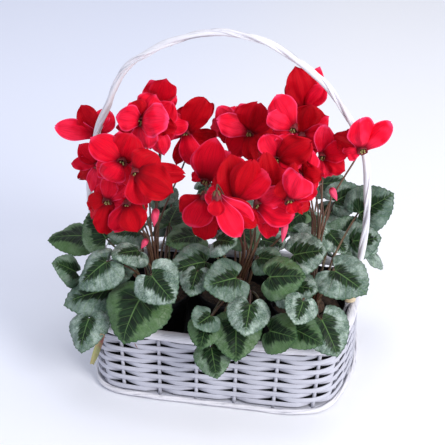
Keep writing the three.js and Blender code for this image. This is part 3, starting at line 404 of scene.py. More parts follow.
@dataclass
class Maker:
    """A mesh in the making: draped grids, each with a finish, a UV map and a tone of its own.

    Attributes:
        name: The piece.
        mesh: Its bmesh.
        pattern: The length of a tube that U 1 stands for, in metres.
    """

    name: str
    mesh: bmesh.types.BMesh = field(default_factory=bmesh.new)
    pattern: float = 0.1

    def __post_init__(self) -> None:
        """Adds the layers that the finishes read."""
        self.uv = self.mesh.loops.layers.uv.new("UVMap")
        self.tone = self.mesh.verts.layers.float.new("tone")
        self.rim = self.mesh.verts.layers.float.new("rim")

    def drape(self, columns: int, rows: int, shape: Shape, finish: int = 0, tone: float = 0.5,
              uv: Layout | None = None) -> list[bmesh.types.BMVert]:
        """Drapes a grid over a shape, and closes its seams and poles.

        Args:
            columns: Steps along s.
            rows: Steps along t.
            shape: The point in metres for s and t, both from 0 to 1.
            finish: The material's index.
            tone: The number that varies the finish from piece to piece.
            uv: The UV place for s and t, or s and t themselves.

        Returns:
            The points of the drape.
        """
        bm = self.mesh
        made = bmesh.ops.create_grid(bm, x_segments=columns, y_segments=rows, size=0.5)["verts"]
        spots = {v: (v.co.x + 0.5, v.co.y + 0.5) for v in made}
        faces = list({f for v in made for f in v.link_faces})
        for face in faces:
            face.smooth = True
            face.material_index = finish
            for loop in face.loops:
                s, t = spots[loop.vert]
                loop[self.uv].uv = uv(s, t) if uv else (s, t)
        for v, (s, t) in spots.items():
            v.co = shape(s, t)
            v[self.tone] = tone
            v[self.rim] = s
        bmesh.ops.remove_doubles(bm, verts=made, dist=MERGE)
        return [v for v in made if v.is_valid]

    def sheet(self, columns: int, rows: int, face: Shape, lift: Vector, finish: int = 0,
              tone: float = 0.5, uv: Layout | None = None, thick: float = 0.6 * MM) -> None:
        """Drapes a thin closed sheet: two faces that meet all along its edge.

        Args:
            columns: Steps along s.
            rows: Steps across, from edge to edge.
            face: The middle of the sheet for s and w, both from 0 to 1.
            lift: The unit way from the middle to the upper face.
            finish: The material's index.
            tone: The number that varies the finish from piece to piece.
            uv: The UV place for s and w, or s and w themselves.
            thick: How far the two faces lie apart, in metres.
        """
        def across(t: float) -> float:
            """The place across the sheet: out on the upper face, back on the lower one."""
            return 2 * t if t <= 0.5 else 2 - 2 * t

        def skin(s: float, t: float) -> Vector:
            """Both faces of the sheet in one."""
            w = across(t)
            inside = min(s, 1 - s, w, 1 - w) > 1e-4
            away = (thick if t < 0.5 else -thick) / 2 if inside else 0.0
            return face(s, w) + lift * away

        place = uv or (lambda s, w: (s, w))
        verts = self.drape(columns, rows * 2, skin, finish, tone, uv=lambda s, t: place(s, across(t)))
        bmesh.ops.recalc_face_normals(self.mesh, faces=list({f for v in verts for f in v.link_faces}))
        for edge in {e for v in verts for e in v.link_edges}:
            edge.smooth = edge.calc_face_angle(0.0) < SHARP

    def tube(self, points: Sequence[Vector], radius: Callable[[float], float], sides: int = 8,
             finish: int = 0, tone: float = 0.5) -> None:
        """Makes a round tube along points, closed at both ends.

        Args:
            points: The middle line, in metres.
            radius: The radius in metres for a share of the way.
            sides: How many sides the tube has.
            finish: The material's index.
            tone: The number that varies the finish from piece to piece.
        """
        line = [points[0], *points, points[-1]]
        last = len(line) - 1
        frames: list[tuple[Vector, Vector]] = []
        side = Vector((0.31, 0.95, 0.05))  # hardly any tube runs this way
        for i in range(len(points)):
            along = (points[min(i + 1, len(points) - 1)] - points[max(i - 1, 0)]).normalized()
            side = (side - along * side.dot(along)).normalized()
            frames.append((side.copy(), along.cross(side)))
        frames = [frames[0], *frames, frames[-1]]
        run = [0.0]
        for a, b in zip(line, line[1:]):
            run.append(run[-1] + (b - a).length)

        def shape(s: float, t: float) -> Vector:
            """The tube's skin, drawn to a point at both ends."""
            i = round(s * last)
            wide = 0.0 if i in (0, last) else radius((i - 1) / (last - 2))
            return line[i] + spoke(*frames[i], t * TURN) * wide

        self.drape(last, sides, shape, finish, tone,
                   uv=lambda s, t: (run[round(s * last)] / self.pattern, t))

    def turned(self, profile: Sequence[tuple[float, float]], centre: Vector, around: int = 48,
               finish: int = 0, rough: Callable[[Vector], Vector] | None = None) -> None:
        """Spins a profile of radius and height, in mm, round an upright axis.

        Args:
            profile: The pairs, from axis to axis or round to the first one.
            centre: Where the axis stands, in metres.
            around: Steps round the axis.
            finish: The material's index.
            rough: Moves a point of the finished skin.
        """
        bm = self.mesh
        verts = [bm.verts.new(mm(r, 0, z)) for r, z in profile]
        edges = [bm.edges.new(pair) for pair in zip(verts, verts[1:])]
        bmesh.ops.spin(bm, geom=verts + edges, cent=(0, 0, 0), axis=(0, 0, 1), angle=TURN,
                       steps=around, use_merge=True, use_duplicate=False)
        island = self._island(verts)
        bmesh.ops.remove_doubles(bm, verts=island, dist=MERGE)
        island = [v for v in island if v.is_valid]
        faces = list({f for v in island for f in v.link_faces})
        bmesh.ops.recalc_face_normals(bm, faces=faces)
        for v in island:
            v.co = (rough(v.co) if rough else v.co) + centre
            v[self.tone] = 0.5
            v[self.rim] = 0.5
        for face in faces:
            face.smooth = True
            face.material_index = finish

    def _island(self, seeds: Iterable[bmesh.types.BMVert]) -> list[bmesh.types.BMVert]:
        """Every point joined by edges to the seeds."""
        seen = {v for v in seeds if v.is_valid}
        edge = list(seen)
        while edge:
            step = [e.other_vert(v) for v in edge for e in v.link_edges]
            edge = [v for v in set(step) if v not in seen]
            seen.update(edge)
        return list(seen)

    def place(self, finishes: Sequence[Material], nodes: Sequence[str], slot: str,
              outward: bool = True) -> bpy.types.Object:
        """Makes the object, in the place of its solids.

        Args:
            finishes: The materials, in the order of their indices.
            nodes: The solids that it stands for.
            slot: The record's material slot, not used.
            outward: Whether to turn every face outwards first.

        Returns:
            The object.
        """
        if outward:
            bmesh.ops.recalc_face_normals(self.mesh, faces=self.mesh.faces[:])
        data = bpy.data.meshes.new(self.name)
        self.mesh.to_mesh(data)
        self.mesh.free()
        for finish in finishes:
            data.materials.append(finish)
        piece = bpy.data.objects.new(self.name, data)
        bpy.context.scene.collection.objects.link(piece)
        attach(piece, "root")
        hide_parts(*nodes)
        LOG.info("%s: %d faces", self.name, len(data.polygons))
        return piece


# ---- finishes


class Recipe:
    """A material in the making: its nodes, added one by one, and its own shader."""

    def __init__(self, name: str) -> None:
        """Starts a material with a bare shader."""
        self.material = bpy.data.materials.new(name)
        self.material.use_nodes = True
        self.tree = self.material.node_tree
        self.shader = next(n for n in self.tree.nodes if n.type == "BSDF_PRINCIPLED")

    def add(self, kind: str, inputs: dict | None = None, **settings: object) -> bpy.types.Node:
        """Adds a node.

        Args:
            kind: The node's type, without its ShaderNode prefix.
            inputs: Values or sockets for its inputs, by name or number.
            **settings: The node's own properties.

        Returns:
            The node.
        """
        return add_node(self.tree, kind, inputs, **settings)

    def bump(self, height: Input, strength: float, depth: float) -> Socket:
        """Adds a Bump node, with its depth in metres, and returns its normal."""
        return self.add("Bump", {"Height": height, "Strength": strength, "Distance": depth}).outputs[0]

    def read(self, name: str) -> Socket:
        """The number that a mesh keeps under a name."""
        return self.add("Attribute", attribute_name=name).outputs["Fac"]

    def set(self, **inputs: Input) -> None:
        """Sets or links the shader's inputs, whose names are given with _ for a space."""
        for name, value in inputs.items():
            join(self.tree, self.shader.inputs[name.replace("_", " ")], value)


def join(tree: Tree, socket: Socket, value: Input) -> None:
    """Links a socket to another one, or gives it a plain value."""
    if isinstance(value, Socket):
        tree.links.new(value, socket)
    elif isinstance(value, bpy.types.Node):
        tree.links.new(value.outputs[0], socket)
    else:
        socket.default_value = value


def add_node(tree: Tree, kind: str, inputs: dict | None = None,
             **settings: object) -> bpy.types.Node:
    """Adds a shader node to a tree, with its settings and inputs."""
    node = tree.nodes.new("ShaderNode" + kind)
    for name, value in settings.items():
        setattr(node, name, value)
    for key, value in (inputs or {}).items():
        join(tree, node.inputs[key], value)
    return node


def rgb(red: float, green: float, blue: float) -> Colour:
    """A colour with full cover."""
    return (red, green, blue, 1.0)


def blend(tree: Tree, share: Input, first: Input, second: Input) -> Socket:
    """Mixes two colours or numbers by a share.

    Args:
        tree: The nodes.
        share: How much of the second, from 0 to 1.
        first: The one at 0.
        second: The one at 1.

    Returns:
        The mix.
    """
    node = tree.nodes.new("ShaderNodeMix")
    node.data_type = "RGBA"
    join(tree, node.inputs[0], share)
    join(tree, node.inputs[6], first)
    join(tree, node.inputs[7], second)
    return node.outputs[2]


def reckon(tree: Tree, how: str, first: Input, second: Input = 0.0,
           third: Input | None = None, clamp: bool = False) -> Socket:
    """Does a sum on up to three numbers.

    Args:
        tree: The nodes.
        how: The sum, as the Math node names it.
        first: The first number.
        second: The second one.
        third: The third one, for a sum that takes it.
        clamp: Whether the result is held between 0 and 1.

    Returns:
        The result.
    """
    node = tree.nodes.new("ShaderNodeMath")
    node.operation = how
    node.use_clamp = clamp
    join(tree, node.inputs[0], first)
    join(tree, node.inputs[1], second)
    if third is not None:
        join(tree, node.inputs[2], third)
    return node.outputs[0]


def times(tree: Tree, first: Input, second: Input) -> Socket:
    """Multiplies two numbers."""
    return reckon(tree, "MULTIPLY", first, second)


def ramp(tree: Tree, value: Input, low: float, high: float,
         to: tuple[float, float] = (0.0, 1.0)) -> Socket:
    """Maps a number smoothly from one range to another.

    Args:
        tree: The nodes.
        value: The number.
        low: Where the first range starts.
        high: Where it ends.
        to: The two ends of the second range.

    Returns:
        The result.
    """
    node = tree.nodes.new("ShaderNodeMapRange")
    node.interpolation_type = "SMOOTHSTEP"
    node.clamp = True
    for key, each in (("Value", value), ("From Min", low), ("From Max", high),
                      ("To Min", to[0]), ("To Max", to[1])):
        join(tree, node.inputs[key], each)
    return node.outputs[0]


def group(name: str, ins: Sequence[tuple[str, str, float]],
          outs: Sequence[tuple[str, str]]) -> tuple[Tree, bpy.types.Node, bpy.types.Node]:
    """Starts a shader node group.

    Args:
        name: The group's name.
        ins: Name, kind (Float, Vector or Color) and first value of each input.
        outs: Name and kind of each output.

    Returns:
        The group's tree, its input node and its output node.
    """
    tree = bpy.data.node_groups.new(name, "ShaderNodeTree")
    for label, kind, value in ins:
        socket = tree.interface.new_socket(name=label, in_out="INPUT",
                                           socket_type="NodeSocket" + kind)
        socket.default_value = value
    for label, kind in outs:
        tree.interface.new_socket(name=label, in_out="OUTPUT", socket_type="NodeSocket" + kind)
    return tree, tree.nodes.new("NodeGroupInput"), tree.nodes.new("NodeGroupOutput")


class Effects:
    """The effects that several finishes share, each a node group built once."""

    def __init__(self) -> None:
        """Builds every group."""
        self.streaks = self._streaks()
        self.mottle = self._mottle()

    @staticmethod
    def _streaks() -> Tree:
        """Fine lines that run along U, for painted splints, petals and stalks."""
        tree, at, to = group("long streaks",
                             [("Along", "Float", 3.0), ("Across", "Float", 30.0), ("Shift", "Float", 0.0)],
                             [("Lines", "Float"), ("Patches", "Float")])
        uv = add_node(tree, "UVMap", uv_map="UVMap")
        apart = add_node(tree, "SeparateXYZ", {0: uv.outputs["UV"]})
        x = times(tree, apart.outputs[0], at.outputs["Along"])
        y = times(tree, apart.outputs[1], at.outputs["Across"])
        spot = add_node(tree, "CombineXYZ", {0: x, 1: y, 2: at.outputs["Shift"]})
        fine = add_node(tree, "TexNoise", {"Vector": spot.outputs[0], "Scale": 1.0, "Detail": 3.0})
        wide = add_node(tree, "TexNoise", {"Vector": spot.outputs[0], "Scale": 0.23, "Detail": 1.0})
        join(tree, to.inputs["Lines"], fine.outputs["Fac"])
        join(tree, to.inputs["Patches"], wide.outputs["Fac"])
        return tree

    @staticmethod
    def _mottle() -> Tree:
        """Soft patches in object space with fine grain on them, for soil, paint and leaf flesh."""
        tree, at, to = group("mottle", [("Scale", "Float", 60.0), ("Grain", "Float", 900.0)],
                             [("Patches", "Float"), ("Grain", "Float")])
        spot = add_node(tree, "TexCoord").outputs["Object"]
        wide = add_node(tree, "TexNoise", {"Vector": spot, "Scale": at.outputs["Scale"], "Detail": 4.0})
        fine = add_node(tree, "TexNoise", {"Vector": spot, "Scale": at.outputs["Grain"], "Detail": 2.0})
        join(tree, to.inputs["Patches"], wide.outputs["Fac"])
        join(tree, to.inputs["Grain"], fine.outputs["Fac"])
        return tree


def use(recipe: Recipe, tree: Tree, **inputs: Input) -> bpy.types.bpy_prop_collection:
    """Places a node group in a material, with values for its inputs, and returns its outputs."""
    node = recipe.tree.nodes.new("ShaderNodeGroup")
    node.node_tree = tree
    for name, value in inputs.items():
        join(recipe.tree, node.inputs[name], value)
    return node.outputs


@dataclass(frozen=True)
class PaintedSplint:
    """White paint on split willow: streaks along the splint, painted shade in the grooves, a few bare chips.
    """

    name: str = "white painted splint"
    white: Colour = rgb(0.53, 0.535, 0.61)
    groove_shade: Colour = rgb(0.24, 0.24, 0.30)
    bare: Colour = rgb(0.30, 0.22, 0.17)
    roughness: float = 0.5
    across: float = 26.0

    def make(self, effects: Effects) -> Material:
        """Builds the material."""
        r = Recipe(self.name)
        lines = use(r, effects.streaks, Along=1.6, Across=self.across)
        spots = use(r, effects.mottle, Scale=38.0, Grain=700.0)
        # Painted shade: the paint darkens along the fine streaks that the bump sinks as grooves; the bare
        # chips, which are wear, show only on these streaks.
        dark_streaks = ramp(r.tree, lines["Lines"], 0.53, 0.75)
        paint = blend(r.tree, times(r.tree, dark_streaks, 0.75), self.white, self.groove_shade)
        soft = ramp(r.tree, spots["Patches"], 0.45, 0.75, (0.0, 0.3))
        paint = blend(r.tree, soft, paint, rgb(0.42, 0.41, 0.48))
        chips = ramp(r.tree, spots["Grain"], 0.69, 0.74)
        chips = times(r.tree, chips, dark_streaks)
        r.set(Base_Color=blend(r.tree, chips, paint, self.bare))
        rough = ramp(r.tree, lines["Patches"], 0.3, 0.7,
                     (self.roughness - 0.1, self.roughness + 0.15))
        r.set(Roughness=rough, Normal=r.bump(lines["Lines"], 0.55, 0.0006), Specular_IOR_Level=0.4)
        return r.material


@dataclass(frozen=True)
class BareCane:
    """Unpainted cane of the two bindings."""

    name: str = "pale cane"

    def make(self, effects: Effects) -> Material:
        """Builds the material."""
        r = Recipe(self.name)
        lines = use(r, effects.streaks, Along=2.0, Across=14.0)
        dark_streaks = ramp(r.tree, lines["Lines"], 0.4, 0.7)
        r.set(Base_Color=blend(r.tree, dark_streaks, rgb(0.72, 0.60, 0.42), rgb(0.40, 0.29, 0.16)))
        r.set(Roughness=0.5, Normal=r.bump(lines["Lines"], 0.4, 0.0004))
        return r.material


@dataclass(frozen=True)
class BlackFilm:
    """Black plastic of the pots and of the liner."""

    name: str = "black plastic"
    roughness: float = 0.38
    crease: float = 0.3

    def make(self, effects: Effects) -> Material:
        """Builds the material."""
        r = Recipe(self.name)
        spots = use(r, effects.mottle, Scale=55.0, Grain=1500.0)
        dust = ramp(r.tree, spots["Patches"], 0.5, 0.8, (0.0, 0.35))
        r.set(Base_Color=blend(r.tree, dust, rgb(0.006, 0.006, 0.007), rgb(0.020, 0.018, 0.017)))
        rough = ramp(r.tree, spots["Patches"], 0.3, 0.7, (self.roughness, self.roughness + 0.2))
        r.set(Roughness=rough, Normal=r.bump(spots["Patches"], self.crease, 0.002), Specular_IOR_Level=0.2)
        return r.material


@dataclass(frozen=True)
class PottingSoil:
    """Dark peat with fibres and a few pale grains."""

    name: str = "potting soil"

    def make(self, effects: Effects) -> Material:
        """Builds the material."""
        r = Recipe(self.name)
        spots = use(r, effects.mottle, Scale=140.0, Grain=1400.0)
        dark = ramp(r.tree, spots["Patches"], 0.35, 0.65)
        peat = blend(r.tree, dark, rgb(0.012, 0.007, 0.004), rgb(0.055, 0.030, 0.017))
        pale = ramp(r.tree, spots["Grain"], 0.70, 0.73)
        r.set(Base_Color=blend(r.tree, pale, peat, rgb(0.32, 0.26, 0.20)))
        height = reckon(r.tree, "ADD", spots["Patches"], spots["Grain"])
        r.set(Roughness=0.95, Normal=r.bump(height, 0.9, 0.0015))
        return r.material


@dataclass(frozen=True)
class StalkSkin:
    """The skin of stalks, calyces and corms: streaked along, from one colour to another."""

    name: str
    first: Colour
    second: Colour
    roughness: float = 0.45

    def make(self, effects: Effects) -> Material:
        """Builds the material."""
        r = Recipe(self.name)
        lines = use(r, effects.streaks, Along=1.2, Across=9.0)
        tone = r.read("tone")
        share = reckon(r.tree, "ADD", ramp(r.tree, lines["Lines"], 0.35, 0.7, (0.0, 0.7)),
                       reckon(r.tree, "MULTIPLY_ADD", tone, 0.6, -0.2), clamp=True)
        r.set(Base_Color=blend(r.tree, share, self.first, self.second))
        r.set(Roughness=self.roughness, Normal=r.bump(lines["Lines"], 0.25, 0.0004), Subsurface_Weight=0.1,
              Subsurface_Radius=(0.004, 0.002, 0.001))
        return r.material


@dataclass(frozen=True)
class LeafSkin:
    """A cyclamen leaf: a dark feathered arrow along the midrib, silver flesh, fine veins, a thin edge."""

    name: str = "marbled leaf"
    dark: Colour = rgb(0.002, 0.009, 0.003)
    deep: Colour = rgb(0.013, 0.042, 0.012)
    silver: Colour = rgb(0.060, 0.112, 0.080)
    frost: Colour = rgb(0.46, 0.56, 0.50)
    moss: Colour = rgb(0.060, 0.130, 0.030)
    vein: Colour = rgb(0.12, 0.23, 0.07)
    edge: Colour = rgb(0.03, 0.08, 0.035)

    def make(self) -> Material:
        """Builds the material."""
        r = Recipe(self.name)
        t = r.tree
        spot = r.add("SeparateXYZ", {0: r.add("UVMap", uv_map="UVMap").outputs["UV"]})
        u, v = spot.outputs[0], reckon(t, "ABSOLUTE", spot.outputs[1])
        rim = r.read("rim")
        tone = r.read("tone")
        seed = times(t, tone, 17.0)
        uv = r.add("CombineXYZ", {0: u, 1: spot.outputs[1], 2: seed}).outputs[0]
        patch = r.add("TexNoise", {"Vector": uv, "Scale": 4.0, "Detail": 3.0}).outputs["Fac"]
        grain = r.add("TexNoise", {"Vector": uv, "Scale": 30.0, "Detail": 3.0}).outputs["Fac"]
        slant = reckon(t, "MULTIPLY_ADD", v, -0.8, u)
        spot = r.add("CombineXYZ", {0: times(t, slant, 13.0),
                                    1: times(t, v, 2.2), 2: seed}).outputs[0]
        feather = r.add("TexNoise", {"Vector": spot, "Scale": 1.0, "Detail": 3.0}).outputs["Fac"]
        far = reckon(t, "SQRT", reckon(t, "ADD", times(t, u, u), times(t, v, v)))
        turn = reckon(t, "ARCTAN2", v, u)
        veins, midrib = self._veins(t, slant, turn, far, u, v)
        net = r.add("TexVoronoi", {"Vector": uv, "Scale": 11.0, "Randomness": 0.9},
                    feature="DISTANCE_TO_EDGE").outputs["Distance"]
        net = ramp(t, net, 0.0, 0.06, (1.0, 0.0))
        middle = ramp(t, turn, 0.0, 0.62, (0.86, 0.50))
        middle = reckon(t, "ADD", middle, ramp(t, turn, 0.8, 2.6, (0.0, -0.12)))
        for each, gain in ((feather, 0.62), (patch, 0.34), (tone, 0.20)):
            middle = reckon(t, "ADD", middle, reckon(t, "MULTIPLY_ADD", each, gain, -gain / 2))
        band = ramp(t, reckon(t, "SUBTRACT", rim, middle), -0.07, 0.10)
        heart = blend(t, ramp(t, feather, 0.35, 0.68), self.dark, self.deep)
        bright = reckon(t, "ADD", ramp(t, grain, 0.3, 0.8, (0.0, 0.40)),
                        ramp(t, patch, 0.38, 0.68, (0.0, 0.55)))
        bright = times(t, bright, ramp(t, reckon(t, "FRACT", seed), 0.0, 1.0, (0.45, 1.15)))
        flesh = blend(t, bright, self.silver, self.frost)
        flesh = blend(t, ramp(t, tone, 0.55, 1.0, (0.0, 0.8)), flesh, self.moss)
        skin = blend(t, band, heart, flesh)
        skin = blend(t, times(t, net, ramp(t, band, 0.0, 1.0, (0.10, 0.26))), skin, self.deep)
        lines = reckon(t, "MAXIMUM", times(t, veins, 0.34), times(t, midrib, 0.75))
        skin = blend(t, lines, skin, self.vein)
        cut = ramp(t, reckon(t, "ADD", rim, reckon(t, "MULTIPLY_ADD", grain, 0.06, -0.03)), 0.955, 0.99)
        r.set(Base_Color=blend(t, times(t, cut, 0.75), skin, self.edge))
        sunk = reckon(t, "ADD", reckon(t, "MAXIMUM", veins, midrib), times(t, net, 0.4))
        height = reckon(t, "SUBTRACT", times(t, grain, 0.30), sunk)
        rough = ramp(t, patch, 0.3, 0.7, (0.36, 0.52))
        r.set(Roughness=rough, Normal=r.bump(height, 0.55, 0.0011), Subsurface_Weight=0.06,
              Subsurface_Radius=(0.002, 0.004, 0.001), Specular_IOR_Level=0.22)
        return r.material

    @staticmethod
    def _veins(tree: Tree, slant: Socket, turn: Socket, far: Socket, u: Socket,
               v: Socket) -> tuple[Socket, Socket]:
        """The masks of the side veins and of the midrib.

        Args:
            tree: The material's nodes.
            slant: A number that stays the same along a side vein in the front of the leaf.
            turn: The angle from the midrib.
            far: The distance from the joint.
            u: The place along the midrib.
            v: The distance from the midrib.

        Returns:
            The two masks.
        """
        def near(value: Socket, step: float, scale: Input) -> Socket:
            """How far a number lies from the nearest multiple of a step, times a scale."""
            count = reckon(tree, "DIVIDE", value, step)
            off = reckon(tree, "ABSOLUTE", reckon(tree, "SUBTRACT", count, reckon(tree, "ROUND", count)))
            return times(tree, times(tree, off, step), scale)

        front = ramp(tree, near(slant, 0.185, 0.78), 0.003, 0.011, (1.0, 0.0))
        back = ramp(tree, near(turn, 0.55, far), 0.003, 0.011, (1.0, 0.0))
        sides = blend(tree, ramp(tree, turn, 0.80, 0.95), front, back)
        wide = ramp(tree, u, 0.0, 1.0, (0.020, 0.005))
        midrib = ramp(tree, reckon(tree, "DIVIDE", v, wide), 0.5, 1.0, (1.0, 0.0))
        return sides, times(tree, midrib, ramp(tree, u, -0.01, 0.01))


@dataclass(frozen=True)
class PetalSkin:
    """A velvety red petal: fine veins along it, darker at the mouth, pinker along its edges and in patches,
    partly as painted sheen and highlight.
    """

    name: str = "red petal"
    red: Colour = rgb(0.46, 0.0005, 0.007)
    bright: Colour = rgb(0.80, 0.0022, 0.026)
    deep: Colour = rgb(0.12, 0.0003, 0.005)
    pink_edge_and_sheen: Colour = rgb(0.92, 0.080, 0.235)
    coral_and_highlight: Colour = rgb(0.94, 0.022, 0.075)

    def make(self, effects: Effects) -> Material:
        """Builds the material."""
        r = Recipe(self.name)
        t = r.tree
        lines = use(r, effects.streaks, Along=2.2, Across=46.0)
        spot = r.add("SeparateXYZ", {0: r.add("UVMap", uv_map="UVMap").outputs["UV"]})
        s, w = spot.outputs[0], spot.outputs[1]
        side = reckon(t, "ABSOLUTE", reckon(t, "MULTIPLY_ADD", w, 2.0, -1.0))
        tone = r.read("tone")
        base = blend(t, ramp(t, tone, 0.15, 0.95), self.red, self.bright)
        place = r.add("TexCoord").outputs["Object"]
        patch = r.add("TexNoise", {"Vector": place, "Scale": 42.0, "Detail": 2.0}).outputs["Fac"]
        # Partly a pinker tone and partly painted highlight: soft pinker patches on the petals of higher tone.
        flush_and_highlight = times(t, ramp(t, tone, 0.55, 1.0, (0.0, 0.8)), ramp(t, patch, 0.35, 0.62))
        base = blend(t, flush_and_highlight, base, self.coral_and_highlight)
        vein = ramp(t, lines["Lines"], 0.42, 0.68)
        base = blend(t, times(t, vein, 0.35), base, self.deep)
        root = ramp(t, s, 0.02, 0.30, (0.85, 0.0))
        base = blend(t, root, base, self.deep)
        # Partly the petal's own pinker edge and partly painted sheen: the edges and tip turn pinker, more on
        # petals of higher tone.
        hem_and_sheen = reckon(t, "MAXIMUM", ramp(t, side, 0.84, 1.0), ramp(t, s, 0.88, 1.0))
        hem_and_sheen = times(t, hem_and_sheen, ramp(t, tone, 0.25, 1.0, (0.02, 0.70)))
        base = blend(t, hem_and_sheen, base, self.pink_edge_and_sheen)
        r.set(Base_Color=base)
        r.set(Roughness=0.6, Normal=r.bump(lines["Lines"], 0.35, 0.0006), Subsurface_Weight=0.08,
              Subsurface_Radius=(0.006, 0.001, 0.001), Sheen_Weight=0.03, Sheen_Roughness=0.4,
              Sheen_Tint=rgb(1.0, 0.45, 0.55), Specular_IOR_Level=0.07)
        return r.material


@dataclass(frozen=True)
class PlainSkin:
    """A part of two mixed colours with fine grain: bark, withered leaves, mouths and anthers."""

    name: str
    first: Colour
    second: Colour
    roughness: float = 0.6
    scale: float = 300.0

    def make(self, effects: Effects) -> Material:
        """Builds the material."""
        r = Recipe(self.name)
        spots = use(r, effects.mottle, Scale=self.scale, Grain=2500.0)
        share = ramp(r.tree, spots["Patches"], 0.35, 0.65)
        r.set(Base_Color=blend(r.tree, share, self.first, self.second))
        r.set(Roughness=self.roughness, Normal=r.bump(spots["Grain"], 0.3, 0.0004))
        return r.material


class Finishes:
    """Every finish of the object, made once."""

    def __init__(self) -> None:
        """Builds the shared effects, then each material."""
        effects = Effects()
        self.splint = PaintedSplint().make(effects)
        # Painted light and shade: the handle and both borders take a lighter copy of the same white paint,
        # the weave and stakes a darker one, for the light that falls on each.
        self.handle = PaintedSplint("white painted handle", rgb(0.76, 0.75, 0.80),
                                    across=5.0).make(effects)
        self.stake = PaintedSplint("white painted stake", across=4.0).make(effects)
        self.cane = BareCane().make(effects)
        self.pot = BlackFilm("black pot").make(effects)
        self.liner = BlackFilm("black liner film", 0.45, 0.8).make(effects)
        self.soil = PottingSoil().make(effects)
        self.corm = PlainSkin("corm bark", rgb(0.035, 0.020, 0.012), rgb(0.08, 0.045, 0.026),
                              0.9).make(effects)
        self.stalk = StalkSkin("flower stalk", rgb(0.085, 0.026, 0.018), rgb(0.15, 0.085, 0.04)).make(effects)
        self.petiole = StalkSkin("leaf stalk", rgb(0.12, 0.035, 0.024), rgb(0.12, 0.14, 0.06)).make(effects)
        self.dry = PlainSkin("dry leaf", rgb(0.22, 0.075, 0.03), rgb(0.12, 0.03, 0.022), 0.7,
                             90.0).make(effects)
        self.faded = PlainSkin("faded leaf", rgb(0.30, 0.30, 0.12), rgb(0.30, 0.10, 0.085), 0.6,
                               45.0).make(effects)
        self.calyx = StalkSkin("calyx", rgb(0.10, 0.10, 0.03), rgb(0.19, 0.06, 0.03)).make(effects)
        self.leaf = LeafSkin().make()
        self.petal = PetalSkin().make(effects)
        self.mouth = PlainSkin("bloom mouth", rgb(0.10, 0.002, 0.006),
                               rgb(0.20, 0.004, 0.012)).make(effects)
        self.anther = PlainSkin("anthers", rgb(0.45, 0.36, 0.12), rgb(0.16, 0.15, 0.05), 0.7,
                                900.0).make(effects)
        self.bud = PetalSkin("bud petal", red=rgb(0.75, 0.03, 0.09),
                             bright=rgb(0.85, 0.10, 0.20)).make(effects)


# ---- basket


